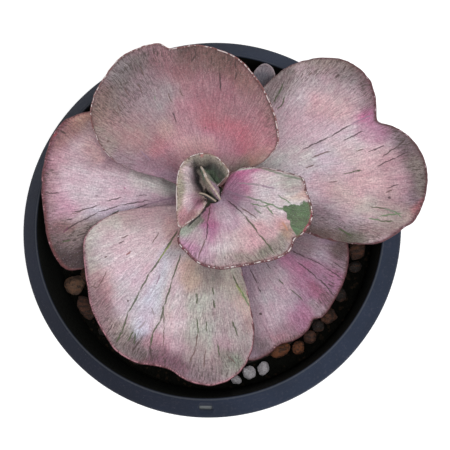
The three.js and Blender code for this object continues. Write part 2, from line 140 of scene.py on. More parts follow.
# The leaves, oldest and lowest first, as in the solids. Each grows from an arc on the stem, the foot:
# first and last azimuth, and height. Its margin goes round from the first side to the last: azimuth
# and reach from the stem's middle, and height.
LEAVES = [
    {
        "name": "leaf_1", "foot": (98, 44, 102.6), "thick": (3.2, 1.1), "bend": (0.5, 0.5),
        "steep": 1, "crown": 0.6, "ripple": (0.2, 3, 0),
        "margin": [
            (96, 12, 104), (90, 28, 107), (80, 42, 111.5), (74, 51, 115.4), (73.2, 55, 117),
            (72.2, 58.6, 117.8), (70, 61.1, 118), (67.2, 61, 118), (64.6, 59.2, 117.8),
            (62.8, 55.4, 116.8), (61, 49, 114.8), (54, 40, 111), (46, 27, 106.5), (44, 12, 104)],
    },
    {
        "name": "leaf_2", "foot": (-22, -84, 105.2), "thick": (3.6, 1.1), "bend": (0.45, 0.45),
        "steep": 1, "crown": 1.2, "ripple": (0.7, 6, 0.4),
        "margin": [
            (1, 35, 107), (-10, 51, 107), (-18, 58, 107), (-25, 61.4, 107), (-33, 63.6, 107),
            (-47.6, 66, 106), (-50.4, 64.4, 106), (-54.6, 66.4, 105.5), (-60, 67, 105.5),
            (-66, 66, 105.5), (-72, 68, 105.5), (-78, 68, 105.5), (-83, 62, 105.5),
            (-86, 46, 106), (-90, 20, 106)],
    },
    {
        "name": "leaf_3", "foot": (148, 206, 109), "thick": (3.6, 1.2), "bend": (0.4, 0.4),
        "steep": 1, "crown": 1, "ripple": (0.5, 4, 1),
        "margin": [
            (138, 15, 111), (136, 37, 115), (138, 54, 118), (144, 64, 119), (152, 72, 120),
            (158, 74, 120), (165, 74, 120), (175, 73, 119.5), (185, 72, 118.5), (194, 72, 117),
            (201, 71, 115.5), (206, 68, 114.5), (208, 59, 113.5), (210, 41, 112), (212, 15, 110)],
    },
    {
        "name": "leaf_4", "foot": (58, -14, 111.2), "thick": (3.8, 1.2), "bend": (0.4, 0.4),
        "steep": 1, "crown": 1.5, "ripple": (0.5, 5, 0), "trim": 0.6,
        "margin": [
            (67, 23, 114), (70, 38, 119), (66, 50, 122), (59, 64, 124), (49, 76, 124),
            (42, 80.4, 123.5), (36, 80.8, 122.8), (31, 78.6, 122.4), (26.6, 75.8, 122),
            (23.9, 74.6, 122), (21, 79, 122), (16.5, 84, 122), (11, 87.2, 122), (5, 88, 121.8),
            (-1, 86.6, 121.3), (-5.6, 84.2, 121), (-8.4, 82.2, 121), (-10, 79.6, 120.8),
            (-13, 76, 120.6), (-17, 69.5, 120), (-21, 51, 118.5), (-20, 33, 117), (-8, 11, 113)],
    },
    {
        "name": "leaf_5", "foot": (208, 282, 113.6), "thick": (3.8, 1.2), "bend": (0.35, 0.35),
        "steep": 1, "crown": 1.5, "ripple": (0.5, 5, 2),
        "margin": [
            (197, 8, 115), (189, 27, 118), (189, 40, 119), (192, 49, 119.5), (197, 56, 119.5),
            (206, 60, 119), (215, 64, 118), (222, 68, 117), (231, 72, 116), (238, 75, 115),
            (245, 75, 114.5), (251, 73.4, 114), (256, 73, 113.8), (260, 75, 113.5), (264, 76.6, 113),
            (270, 77, 113), (276, 74.6, 113.3), (281, 69.8, 114), (286, 61, 115), (289, 47, 116.5),
            (291, 28, 117), (295, 9, 115.5)],
    },
    {
        "name": "leaf_6", "foot": (148, 48, 117.6), "thick": (4, 1.3), "bend": (0.4, 0.4),
        "steep": 1.2, "crown": 1.5, "ripple": (0.5, 6, 0),
        "margin": [
            (161, 14, 120), (160, 27, 123), (161, 39, 125), (158, 48, 126), (148, 59.6, 129),
            (140, 64, 130.5), (131, 66.2, 131.8), (125, 67.4, 133), (119, 67.6, 134),
            (114, 66.8, 134.5), (109, 64.8, 135), (106, 61.4, 135), (102, 60.6, 135.5),
            (94, 60, 136), (87, 58, 136), (78, 55, 136), (69, 50, 135.5), (57, 44, 134.5),
            (44, 38, 133), (34, 33, 131), (31, 26, 129.5), (36, 19, 127), (53, 12, 123)],
    },
    {
        "name": "leaf_7", "foot": (14, -108, 121.9), "thick": (3.6, 1.2), "bend": (0.35, 0.35),
        "steep": 1.3, "crown": 0.6, "ripple": (0.4, 7, 1),
        "margin": [
            (42, 11, 127.5), (34, 17, 131.5), (20, 25, 133.5), (11, 33, 134.5), (6, 38, 135),
            (-2, 39, 135), (-8, 41, 135), (-16, 43, 135), (-26, 42, 134.5), (-31, 40, 134),
            (-37, 41, 133.5), (-46, 39, 132.5), (-59, 35, 131.5), (-71, 33, 131), (-84, 32, 131),
            (-98, 30, 130.5), (-110, 27, 130), (-121, 25, 130), (-127, 21, 130),
            (-126, 15, 128.5), (-123, 8, 125.5)],
    },
    {
        "name": "leaf_8", "foot": (-128, -308, 125.4), "foot_reach": 3.3, "thick": (2.6, 1.2),
        "bend": (0.35, 0.6), "steep": 2, "crown": 0, "ripple": (0.3, 8, 0),
        "margin": [
            (-104, 5.2, 131.8), (-108, 8.9, 133), (-116, 13, 134), (-121.6, 16.8, 134.6),
            (-125, 19.1, 134.8), (-129, 19.5, 135), (-135, 18.1, 135.2), (-147, 15.6, 135.8),
            (-167, 13.5, 136.6), (-187, 13.1, 137.3), (-206, 13.8, 138), (-222, 14.5, 138.6),
            (-237, 14.6, 139.2), (-254, 14.3, 139.5), (-266, 14, 139), (-283, 13.2, 138),
            (-301, 12, 136.5), (-317.6, 11, 135.2), (-328, 9, 134)],
    },
    {
        "name": "leaf_9", "foot": (110, -50, 127.6), "foot_reach": 1.5, "thick": (4.4, 0.9),
        "fading": 4, "pinched": True, "bend": (0.5, 0.5), "steep": 1, "crown": 0,
        "ripple": (0, 1, 0),
        "margin": [
            (110, 7, 133.4), (110, 9.6, 137), (106, 6.8, 139), (99, 3.5, 139.6), (46, 1.5, 139.4),
            (-21, 2.8, 138.6), (-35, 4.4, 137.4), (-43, 6.4, 135.4), (-44, 5.4, 132.6)],
    },
    {
        "name": "leaf_10", "foot": (196, 272, 127.4), "foot_reach": 2.3, "thick": (1.2, 0.9),
        "bend": (0.5, 0.5), "steep": 1, "crown": 0, "ripple": (0, 1, 0),
        "margin": [
            (198, 3.6, 131.6), (198, 4.3, 134.2), (227, 2.7, 135), (284, 3.6, 135),
            (300, 5.6, 134.2), (296, 4.8, 131.8)],
    },
]

# The leaves' colouring. Places are pixels of the 450-pixel photograph: x and y of one end, then of
# the other. A wash is a soft long patch: tone, strength, half width in mm and its two ends; a last
# number keeps it that near to the margin, in mm. A hatch is where the fine dark streaks gather:
# strength, half width and its two ends. A vein is a thin line: half width, bow to its left in mm and
# its two ends. A rim is the tones of its inner side, its dashes and its edge, how far the dashes are
# apart, and its scale.
MARKS = {
    "leaf_1": {
        "base": "old leaf", "rim": ("grey", "grey", "grey", 0.5),
        "washes": [
            # Painted shade: the dark brown wash where this leaf passes under leaf_6 and leaf_4. Painted
            # highlight: the grey streak near the tip's top is a glint.
            ("dark brown", 0.4, 4, 262, 96, 270, 86), ("grey", 0.5, 1.4, 258, 70, 272, 67)],
        "hatches": [],
        "veins": {},
    },
    "leaf_2": {
        "base": "mauve", "rim": ("clay", "blush", "maroon", 0.6),
        "washes": [
            ("petal", 0.8, 9, 268, 345, 278, 290), ("grey", 0.6, 6, 262, 262, 262, 300),
            ("pale petal", 0.3, 6, 306, 238, 338, 262), ("brown", 0.5, 5, 292, 240, 306, 244),
            ("pale petal", 0.6, 6, 270, 300, 276, 330), ("magenta", 0.6, 3.6, 282, 256, 322, 300),
            ("deep magenta", 0.7, 3, 312, 286, 326, 296), ("magenta", 0.55, 4, 306, 266, 340, 284),
            ("blush", 0.3, 5, 276, 338, 296, 330), ("mauve shade", 0.95, 5, 250, 316, 262, 352),
            ("deep rose", 0.9, 6, 280, 336, 308, 318), ("mauve", 0.35, 12, 264, 312, 290, 306),
            ("magenta", 0.4, 5, 300, 320, 312, 300), ("grey", 0.6, 3, 314, 304, 322, 314),
            ("rose", 0.6, 2, 276, 339, 284, 335), ("petal", 0.35, 7, 262, 314, 276, 332),
            ("orchid", 0.45, 5, 296, 314, 308, 322), ("mauve shade", 0.45, 4, 280, 246, 298, 250),
            ("maroon", 0.5, 6, 340, 256, 346, 262), ("umber", 0.3, 1.6, 322, 246, 342, 246),
            # Painted shadow: the dark umber wash lies where leaf_4 shades this leaf.
            ("wine", 0.3, 5, 284, 332, 300, 324), ("dark umber", 0.7, 3, 336, 249, 346, 249),
            ("mauve", 0.6, 3, 256, 355, 264, 360), ("mauve shade", 0.5, 3, 326, 300, 334, 306),
            ("mauve", 0.4, 3, 314, 271, 320, 276)],
        "hatches": [
            (0.7, 5, 322, 300, 346, 262), (0.5, 4, 268, 350, 300, 338)],
        "veins": {
            "dark vein": [
                (0.32, 0, 291, 250, 306, 257.5), (0.3, 0.3, 305, 257, 326, 268),
                (0.28, 0.4, 325, 268, 342, 279), (0.32, 0.4, 296, 262, 318, 279),
                (0.34, 0.5, 317, 278, 331.5, 294), (0.3, 0, 250.5, 270, 257, 283.5),
                (0.2, 0, 258, 287, 260.5, 292.5), (0.2, 0, 266, 263, 270.5, 269),
                (0.34, 0, 327.5, 283.5, 334, 287), (0.22, 0, 333, 262, 343, 268),
                (0.3, 0, 289.6, 336, 292, 341), (0.3, 0, 293.5, 335, 296, 340),
                (0.25, 0, 330, 290, 338, 300)],
            "dark green": [(0.3, 0, 278.5, 278.5, 283.5, 285), (0.26, 0.3, 289, 288.5, 303, 301)],
            "dark brown": [(0.5, 0, 259, 314.2, 262, 313.6)],
        },
    },
    "leaf_3": {
        "base": "petal", "rim": ("red brown", "line pink", "maroon", 0.56),
        "washes": [
            ("blush", 0.8, 2.5, 60, 124, 94, 111), ("grey olive", 0.6, 3.4, 62, 130, 94, 122),
            ("red brown", 0.7, 3.2, 48, 146, 62, 128), ("dusty rose", 0.5, 5, 46, 190, 54, 140),
            ("pale petal", 0.5, 11, 72, 190, 96, 150), ("petal", 0.6, 12, 80, 190, 130, 180),
            # Painted shadow: the mauve wash lies below leaf_6's lower edge.
            ("mauve", 0.65, 5, 96, 148, 150, 172), ("pale green", 0.7, 3.6, 140, 178, 180, 186),
            ("mauve", 0.5, 3.6, 144, 197, 186, 196), ("magenta", 0.35, 5, 104, 192, 146, 196),
            ("lavender", 0.6, 3.6, 90, 216, 132, 206), ("magenta", 0.45, 6, 50, 230, 62, 204),
            ("grey", 0.75, 6, 54, 238, 96, 234), ("sage", 0.5, 4, 60, 236, 90, 240),
            ("tan rose", 0.8, 9, 58, 240, 92, 238), ("brown", 0.6, 5, 46, 236, 62, 256),
            ("wine shade", 0.95, 6, 50, 260, 88, 266), ("brown rose", 0.65, 7, 56, 138, 92, 124),
            # The milk wash is a pale leaf base, lightened further as painted light where leaf_6 shades
            # it.
            ("deep rose", 0.75, 3.4, 43, 206, 48, 150), ("milk", 0.75, 3.4, 136, 179, 164, 186),
            ("violet shade", 0.6, 3, 168, 182, 180, 192), ("red brown", 0.5, 2.6, 50, 230, 70, 228),
            ("grey olive", 0.5, 4, 42, 176, 46, 206), ("shaded rose", 0.45, 5, 92, 156, 124, 165),
            # This milk wash is painted light too, lifting the shade below leaf_6's edge.
            ("pale petal", 0.5, 6, 100, 190, 146, 188), ("milk", 0.4, 3, 140, 184, 176, 186),
            ("mauve shade", 0.5, 2, 138, 172, 174, 180), ("clay", 0.6, 4, 60, 136, 68, 131),
            # Painted light: the blush wash lifts the shade below leaf_6's lower-left margin.
            ("blush", 0.7, 4, 90, 146, 98, 154), ("apricot", 0.5, 4, 74, 119, 84, 117),
            ("deep rose", 0.5, 4, 45, 206, 54, 230), ("mauve shade", 0.6, 7, 54, 240, 84, 247),
            ("wine shade", 0.8, 6, 50, 257, 88, 262), ("dusty rose", 0.5, 7, 60, 138, 68, 156),
            ("orchid rose", 0.55, 5, 52, 158, 50, 200), ("brown rose", 0.6, 5, 56, 140, 74, 128),
            ("wine", 0.75, 6, 44, 206, 60, 128, 3.4), ("maroon", 0.7, 7, 44, 220, 60, 262, 2)],
        "hatches": [
            (0.7, 3.4, 43, 200, 49, 146), (0.9, 6, 48, 240, 62, 262), (0.95, 9, 56, 250, 92, 240),
            (0.7, 4, 50, 140, 66, 124), (0.5, 6, 44, 215, 60, 235), (0.9, 6, 50, 258, 88, 262)],
        "veins": {
            "dark vein": [
                (0.3, 0, 150, 200, 121, 205.5), (0.3, 0.3, 121, 204.5, 98, 211.5),
                (0.3, 0.4, 99, 211, 72, 225), (0.3, 0, 150, 203.5, 127, 212),
                (0.3, 0.3, 100, 204.5, 71, 212), (0.26, 0, 122, 197.5, 105.5, 201),
                (0.32, 0, 72, 219, 66, 219.6), (0.4, 0, 78, 222, 66, 230),
                (0.26, 0, 60, 193, 43, 193), (0.24, 0, 98, 196.5, 95, 196),
                (0.22, 0, 147, 195, 136, 196)],
            "mauve": [(0.35, 0, 178, 196.5, 148, 204)],
            "brown": [(0.28, 0.3, 128, 211.5, 108, 221), (0.2, 0, 86, 209, 70, 215)],
            "dark green": [(0.42, 0, 120, 210, 104, 220), (0.34, 0, 71, 240, 62, 242)],
            "wine": [(0.4, 0, 68, 227, 63, 233)],
            "dark brown": [
                (0.4, 0, 82, 252, 73, 257), (0.42, 0, 67, 252.5, 60, 258),
                (0.36, 0, 86, 246, 74, 250), (0.44, 0, 66, 134, 60, 130),
                (0.3, 0, 49, 174, 41, 172.5)],
            "red": [(0.42, 0, 57, 133, 53.5, 136)],
            "magenta": [(0.4, 0, 125.5, 189, 123.6, 187.4)],
        },
    },
    "leaf_4": {
        "base": "petal", "rim": ("brown", "petal", "maroon", 0.58),
        "washes": [
            ("olive umber", 0.75, 6, 288, 70, 352, 62), ("pale olive", 0.5, 5, 262, 96, 300, 66),
            ("grey", 0.5, 8, 272, 110, 292, 84), ("brown", 0.6, 4, 356, 64, 372, 88),
            ("deep magenta", 0.6, 3.4, 368, 84, 377, 118),
            ("magenta", 0.9, 4.4, 368, 114, 390, 134), ("hot magenta", 0.5, 4, 368, 118, 384, 130),
            ("pale petal", 0.7, 8, 304, 84, 344, 98), ("blush", 0.6, 6, 318, 104, 344, 110),
            ("dusty rose", 0.2, 10, 284, 136, 312, 110), ("petal", 0.7, 9, 284, 152, 332, 162),
            ("white", 0.5, 8, 340, 150, 384, 142), ("blush", 0.5, 10, 336, 168, 376, 166),
            ("dusty rose", 0.6, 8, 396, 158, 400, 206), ("mauve", 0.5, 4, 380, 128, 400, 142),
            ("stone rose", 0.5, 6, 288, 79, 340, 78), ("mauve shade", 0.5, 4, 358, 74, 373, 104),
            ("stone rose", 0.5, 5, 340, 88, 362, 100), ("mauve shade", 0.8, 5, 394, 128, 418, 154),
            ("mauve shade", 0.95, 5.8, 414, 150, 423, 202), ("magenta", 0.5, 4, 366, 132, 380, 136),
            # Painted light: the lavender wash lifts the shade near the foot, below leaf_6 and leaf_7.
            ("wine", 0.6, 3, 376, 234, 394, 229), ("lavender", 0.7, 5, 282, 176, 298, 178),
            # Painted light: the white wash by leaf_6's margin lifts its shade.
            ("lavender", 0.45, 6, 322, 160, 340, 176), ("white", 0.7, 3.6, 256, 163, 272, 161),
            ("umber grey", 0.6, 4, 272, 94, 280, 74), ("umber grey", 0.5, 4, 342, 76, 362, 80),
            # Painted light: the white wash near the foot lifts the shade below leaf_6 and leaf_7.
            ("white", 0.6, 5, 284, 176, 296, 178), ("mauve", 0.4, 4, 410, 203, 416, 208),
            # Painted light: the milk wash near the foot lifts the shade below leaf_6 and leaf_7.
            ("milk", 0.75, 6, 260, 163, 300, 158), ("umber", 0.6, 4, 300, 226, 346, 242),
            ("grey olive", 0.5, 3.4, 414, 160, 426, 196), ("red", 0.7, 2.6, 398, 226, 424, 208),
            ("tan rose", 0.7, 6, 372, 234, 404, 218), ("umber grey", 0.8, 6.6, 306, 214, 350, 234),
            ("dark green", 0.6, 3, 344, 238, 362, 241), ("brown", 0.5, 3, 312, 232, 340, 240),
            ("pale olive", 0.5, 5, 338, 192, 352, 204), ("blush", 0.45, 8, 340, 184, 380, 200),
            ("pale olive", 0.6, 4, 366, 208, 404, 220), ("mauve", 0.3, 7, 310, 206, 340, 214),
            # Painted light: this pale petal wash lifts the shade near the foot, below leaf_6 and leaf_7.
            ("pale petal", 0.6, 8, 286, 172, 300, 190),
            ("dark umber", 0.7, 3.4, 304, 231, 324, 239),
            ("stone rose", 0.45, 7, 388, 206, 400, 218),
            ("maroon", 0.8, 7, 300, 230, 372, 243, 1.6), ("wine", 0.8, 6, 378, 240, 412, 224, 2),
            ("wine", 0.6, 6, 370, 80, 382, 120, 2), ("wine shade", 0.5, 7, 392, 124, 428, 186, 2)],
        "hatches": [
            (0.9, 5, 396, 126, 430, 190), (0.7, 4.6, 340, 62, 380, 108), (0.7, 6, 290, 72, 350, 64),
            (0.8, 7, 308, 216, 366, 240), (0.5, 6, 264, 100, 288, 80),
            (0.5, 5, 414, 196, 420, 214)],
        "veins": {
            "dark vein": [
                (0.34, 0.3, 302, 150.5, 331, 137), (0.34, 0.3, 330, 137.5, 351, 125),
                (0.28, 0.3, 342.5, 141.5, 364.5, 131), (0.34, 0, 376.5, 166.5, 397, 157),
                (0.32, 0, 396, 157.5, 408, 151.5), (0.26, 0, 368, 151, 377, 149),
                (0.26, 0, 374, 151, 384, 145), (0.26, 0, 387, 188, 399, 184),
                (0.5, 0, 388.3, 198, 390.6, 196.6)],
            "mauve": [(0.34, 0.5, 350, 125.5, 374, 115)],
            "brown": [
                (0.34, 0.2, 311, 158, 332, 151), (0.26, 0, 306, 168, 314, 165),
                (0.24, 0, 329, 183, 338, 181), (0.26, 0, 356, 151, 364, 149.5),
                (0.3, 0, 392, 190, 386, 193), (0.3, 0, 312, 72, 308, 76)],
            "dark brown": [
                (0.34, 0.3, 383, 157, 399, 146), (0.4, 0, 398, 147, 406, 138),
                (0.5, 0, 335, 78, 339, 74), (0.4, 0, 346, 66, 343, 71)],
            "dark green": [
                (0.3, 0, 343, 174, 362, 170), (0.36, 0.3, 282.5, 83, 278, 95),
                (0.34, 0, 278.5, 94, 274, 102), (0.36, 0.3, 285, 96, 280, 106),
                (0.36, 0, 283, 104, 277, 109), (0.3, 0.2, 370, 207, 386, 209),
                (0.36, -0.3, 378, 220, 394, 221), (0.5, 0, 338, 228, 352, 236)],
            "sage": [(0.4, 0.2, 384, 209, 397, 213)],
            "green": [
                (0.34, 0, 368, 218, 380, 220), (0.36, 0.4, 379, 217, 402, 214),
                (0.32, 0, 394, 211, 402, 218)],
        },
    },
    "leaf_5": {
        "base": "dusk petal", "rim": ("dusty rose", "line pink", "maroon", 0.48),
        "washes": [
            ("pale olive", 0.6, 8, 88, 240, 118, 222), ("grey olive", 0.7, 7, 92, 258, 104, 276),
            ("grey sage", 0.8, 7, 88, 268, 110, 256), ("blush", 0.6, 9, 96, 292, 132, 272),
            ("blush", 0.5, 8, 120, 250, 170, 240), ("dusty rose", 0.45, 6, 130, 212, 178, 222),
            ("lavender", 0.95, 4.6, 170, 258, 140, 332), ("blush", 0.6, 5, 180, 280, 172, 340),
            ("hot pink", 0.45, 5, 160, 342, 180, 352), ("wine", 0.85, 4, 160, 352, 174, 358),
            ("wine", 0.85, 8, 88, 270, 112, 340, 2.4), ("wine", 0.9, 8, 112, 340, 180, 374, 3),
            ("mauve shade", 0.85, 6, 112, 336, 150, 356), ("maroon", 0.7, 2, 146, 363, 174, 369),
            ("stone rose", 0.7, 6.5, 92, 292, 114, 336), ("umber grey", 0.5, 4, 100, 326, 124, 346),
            ("grey olive", 0.75, 6.5, 190, 276, 240, 280),
            ("pale olive", 0.45, 12, 186, 300, 222, 340), ("grey", 0.4, 8, 218, 318, 234, 352),
            ("magenta", 0.3, 3.6, 222, 338, 230, 356),
            ("yellow green", 0.45, 1.6, 238, 284, 251, 307), ("peach", 0.4, 3, 240, 300, 252, 324),
            ("umber grey", 0.35, 7, 196, 380, 240, 366), ("sage", 0.7, 4, 226, 358, 242, 368),
            ("dusty rose", 0.5, 5, 90, 300, 118, 344), ("mauve shade", 0.4, 5, 94, 296, 118, 340),
            ("dusty rose", 0.4, 4, 96, 280, 110, 296), ("mauve", 0.5, 5, 170, 372, 214, 384),
            ("pale green", 0.4, 5, 196, 300, 200, 340), ("pale petal", 0.6, 10, 110, 250, 148, 250),
            ("pale petal", 0.55, 8, 126, 270, 144, 274), ("lavender", 0.35, 7, 132, 286, 130, 304),
            ("pale petal", 0.65, 4.6, 177, 270, 177, 318),
            ("pale petal", 0.5, 3.6, 160, 326, 178, 330),
            ("grey olive", 0.5, 3, 179, 240, 174, 256),
            ("orchid rose", 0.55, 3.6, 150, 342, 170, 342),
            ("stone rose", 0.6, 9, 190, 352, 206, 364), ("mauve shade", 0.5, 6, 182, 370, 208, 376),
            ("wine", 0.6, 3.6, 156, 361, 180, 369), ("umber grey", 0.4, 4, 112, 341, 126, 348),
            ("stone rose", 0.5, 3, 247, 322, 246, 350),
            # The mauve shade wash is leaf_7's painted shadow; the blush wash is painted light, lifting
            # the shade by leaf_7's edge.
            ("mauve shade", 0.35, 4, 198, 271, 222, 274), ("blush", 0.6, 4, 172, 229, 180, 234),
            ("peach", 0.6, 4, 187, 268, 191, 282), ("pale olive", 0.7, 4, 232, 270, 232, 290),
            ("pale olive", 0.4, 4, 118, 326, 123, 334), ("petal", 0.5, 4, 175, 340, 178, 348),
            ("petal", 0.4, 4, 146, 313, 150, 320), ("umber grey", 0.5, 4, 118, 342, 140, 352)],
        "hatches": [
            (0.8, 6, 112, 334, 160, 362), (0.5, 5, 90, 290, 112, 340), (0.7, 6, 190, 376, 240, 364),
            (0.5, 5, 166, 366, 196, 382), (0.4, 10, 196, 300, 236, 350)],
        "veins": {
            "dark green": [
                (0.5, 0, 178, 230, 164, 252), (0.42, 0.3, 165, 250, 149, 274),
                (0.42, 0.2, 150, 272.5, 139, 291), (0.4, 0.3, 140, 290, 127.5, 313),
                (0.4, 0, 128, 312, 122, 333), (0.5, 0, 122.5, 332, 116, 342),
                (0.38, 0.2, 181, 253, 171.5, 281), (0.4, 0.2, 172, 280, 163.5, 306),
                (0.4, 0.3, 164, 305, 159.5, 322), (0.4, 0, 160, 321, 152.5, 334),
                (0.44, 0, 153, 333, 150, 346), (0.28, 0, 163, 306, 164.5, 324),
                (0.36, 0, 196.6, 293, 196.8, 304), (0.36, 0, 212.6, 287.6, 213.6, 295),
                (0.42, 0, 213.4, 299.6, 215, 308), (0.36, 0, 197, 318, 198.2, 334),
                (0.34, 0, 206.8, 321, 206, 332), (0.38, 0.2, 231.6, 321, 237.4, 335),
                (0.36, 0, 217.4, 344, 219.6, 356), (0.34, 0, 232.6, 275, 241.4, 292),
                (0.44, 0, 133.6, 331, 128, 341), (0.4, 0, 135.6, 333, 134, 344)],
            "yellow green": [(0.35, 0, 171, 243, 158, 261), (0.4, 0, 236, 284, 246, 300)],
            "dark brown": [
                (0.44, 0, 150, 345, 151.5, 359), (0.44, 0, 127.4, 300.6, 129.2, 301),
                (0.4, 0, 140, 340, 132, 352)],
            "brown": [
                (0.22, 0, 164.3, 323, 163, 348), (0.28, 0, 159.5, 232, 152, 243.5),
                (0.3, 0, 129, 235, 121, 238), (0.34, 0, 107.6, 256, 104.6, 257.6),
                (0.26, 0.3, 106.5, 271, 98, 287), (0.24, 0, 97, 288, 90, 285.6),
                (0.34, 0, 198, 333, 195.6, 348), (0.36, 0, 196, 347, 189.6, 363),
                (0.28, 0, 205.4, 349, 203.6, 369), (0.3, 0, 228, 356, 236, 364)],
            "dark vein": [(0.3, 0, 124, 240.6, 118.5, 243.4), (0.34, 0, 113.4, 324, 107.6, 333)],
            "red brown": [(0.34, 0, 131, 251.5, 126.5, 255.5)],
            "mauve": [(0.34, 0, 160, 274, 156, 285)],
            "grey": [(0.4, 0, 151, 307, 154.5, 316), (0.4, 0, 146, 321, 138.6, 329)],
            "green": [(0.4, 0, 241, 291, 250.4, 307)],
        },
    },
    "leaf_6": {
        "base": "dusty rose", "rim": ("dark umber", "bright line", "red brown", 0.5),
        "washes": [
            ("grey", 0.6, 14, 110, 100, 176, 70), ("grey", 0.45, 12, 130, 120, 176, 104),
            ("umber grey", 0.65, 6, 96, 112, 126, 66), ("umber grey", 0.85, 5.6, 114, 70, 168, 50),
            ("grey olive", 0.5, 6, 96, 122, 112, 96), ("dusty rose", 0.7, 6, 164, 60, 206, 80),
            ("shaded rose", 0.6, 7, 166, 62, 206, 67), ("brown", 0.75, 7, 192, 62, 226, 66),
            ("dark umber", 0.8, 4.6, 186, 51, 236, 60), ("shaded rose", 0.75, 8, 198, 68, 238, 86),
            ("clay", 0.8, 4.6, 262, 98, 276, 132), ("dark umber", 0.65, 3.2, 222, 58, 266, 98),
            ("grey olive", 0.5, 3.4, 252, 86, 277, 122), ("rose", 0.55, 13, 206, 104, 252, 140),
            ("rose", 0.6, 8, 212, 116, 232, 152), ("magenta", 0.5, 5, 206, 142, 232, 152),
            ("muted rose", 0.75, 9, 206, 84, 244, 98), ("peach", 0.35, 4.4, 166, 130, 186, 150),
            ("peach", 0.2, 5, 104, 122, 134, 138), ("grey sage", 0.6, 5, 98, 138, 126, 160),
            ("mauve", 0.6, 6, 124, 160, 176, 168), ("rose", 0.5, 4.4, 160, 146, 178, 158),
            ("orchid rose", 0.7, 5, 190, 148, 204, 150), ("mauve", 0.5, 3, 160, 176, 184, 180),
            ("sage", 0.75, 3.4, 224, 164, 262, 160), ("apricot", 0.45, 2.4, 254, 158, 270, 148),
            ("dusty rose", 0.5, 8, 252, 116, 272, 146), ("clay", 0.55, 5, 242, 84, 264, 110),
            ("mauve shade", 0.35, 8, 114, 94, 152, 72), ("brown rose", 0.35, 9, 102, 118, 138, 136),
            ("orchid rose", 0.8, 7, 186, 150, 222, 149),
            # Painted light: the blush wash lifts the shade that leaf_8 casts near the foot.
            ("orchid rose", 0.4, 5, 189, 106, 190, 140), ("blush", 0.75, 5, 186, 150, 206, 151),
            ("mauve shade", 0.4, 3, 150, 161, 172, 164), ("rose", 0.4, 8, 220, 118, 244, 140),
            ("clay", 0.5, 6, 212, 56, 250, 74), ("clay", 0.4, 5, 96, 116, 102, 92),
            ("maroon", 0.8, 9, 250, 78, 278, 146, 2), ("maroon", 0.55, 9, 94, 118, 150, 164, 1.6),
            ("muted rose", 0.5, 7, 212, 106, 252, 108), ("brown", 0.5, 6, 198, 62, 224, 64),
            ("grey", 0.4, 4, 112, 72, 124, 62)],
        "hatches": [
            (0.8, 6, 96, 110, 128, 62), (0.8, 6, 118, 66, 170, 50), (0.6, 8, 108, 116, 140, 84),
            (0.7, 5, 186, 52, 240, 62), (0.5, 4, 262, 100, 278, 140), (0.5, 5, 100, 140, 126, 162)],
        "veins": {
            "dark vein": [(0.34, 0, 219.6, 71, 220.6, 92), (0.34, 0, 172.6, 112, 177, 123)],
            "brown": [
                (0.28, 0, 167.6, 93, 172.6, 103), (0.5, 0, 106.6, 142, 109.6, 141),
                (0.4, 0, 204.6, 128.6, 206, 127), (0.26, 0, 138, 84, 142, 93),
                (0.24, 0, 120, 100, 125, 108), (0.26, 0, 117, 104, 121, 112),
                (0.24, 0, 179, 88, 183, 97), (0.24, 0, 140, 66, 144, 76),
                (0.3, 0, 124, 88, 130, 96), (0.24, 0, 113, 108, 119, 115)],
            "dark brown": [
                (0.4, 0, 194, 48, 196.6, 56), (0.44, 0, 195.6, 55, 191, 63),
                (0.4, 0, 235, 61, 236.2, 68.6), (0.36, 0, 236.6, 72, 235, 81)],
            "mauve": [(0.3, 0, 150, 160, 140, 150)],
            "bright line": [(0.5, 0, 168.6, 43.6, 169.8, 50)],
            "sage": [(0.3, 0, 154, 96, 155.4, 100)],
        },
    },
    "leaf_7": {
        "base": "petal", "rim": ("red brown", "bright line", "maroon", 0.52),
        "washes": [
            ("hot magenta", 0.95, 5, 226, 186, 262, 173), ("magenta", 0.5, 6, 230, 192, 272, 184),
            ("mauve", 0.7, 4, 216, 196, 232, 204), ("pale petal", 0.7, 3.6, 256, 180, 284, 184),
            ("milk", 0.7, 5, 268, 178, 286, 184), ("grey sage", 0.6, 4.6, 288, 180, 308, 186),
            ("white", 0.7, 4.4, 262, 196, 292, 204), ("peach", 0.7, 2.4, 286, 200, 308, 196),
            ("mauve", 0.6, 4, 220, 190, 236, 190), ("lavender", 0.5, 3, 214, 206, 222, 222),
            ("magenta", 0.7, 3.6, 210, 218, 218, 240), ("orchid", 0.85, 5.4, 188, 246, 210, 226),
            ("sage", 0.9, 2.8, 182, 232, 206, 212), ("pale green", 0.5, 4, 180, 232, 196, 238),
            ("white", 0.6, 5.4, 226, 250, 238, 228), ("blush", 0.6, 9, 246, 244, 272, 222),
            ("tan rose", 0.6, 4, 208, 264, 270, 254), ("grey olive", 0.7, 4, 266, 252, 292, 236),
            ("sage", 0.4, 3, 240, 258, 284, 250), ("orchid", 0.4, 4, 184, 246, 204, 258),
            ("white", 0.5, 4, 246, 208, 266, 212), ("orchid", 0.65, 4.4, 216, 212, 228, 222),
            ("white", 0.7, 3.6, 282, 203, 292, 206), ("pale petal", 0.7, 4, 216, 215, 224, 221),
            ("mauve", 0.5, 3, 242, 202, 250, 206), ("grey olive", 0.5, 3, 284, 234, 291, 229),
            ("hot magenta", 0.6, 2.4, 206, 206, 212, 226),
            ("apricot", 0.4, 2.4, 284, 224, 292, 234),
            # The maroon wash at the lower margin is a red edge, darkened as painted shade on the lip's
            # underside.
            ("maroon", 0.85, 8, 182, 244, 296, 246, 1.7)],
        "hatches": [
            (0.5, 2.6, 206, 264, 292, 248), (0.4, 3, 180, 240, 206, 262)],
        "veins": {
            "mauve": [
                (0.5, 0, 224, 190, 247, 197.6), (0.4, 0.2, 225, 195, 241, 207.6),
                (0.36, 0, 260, 185, 276, 188.6)],
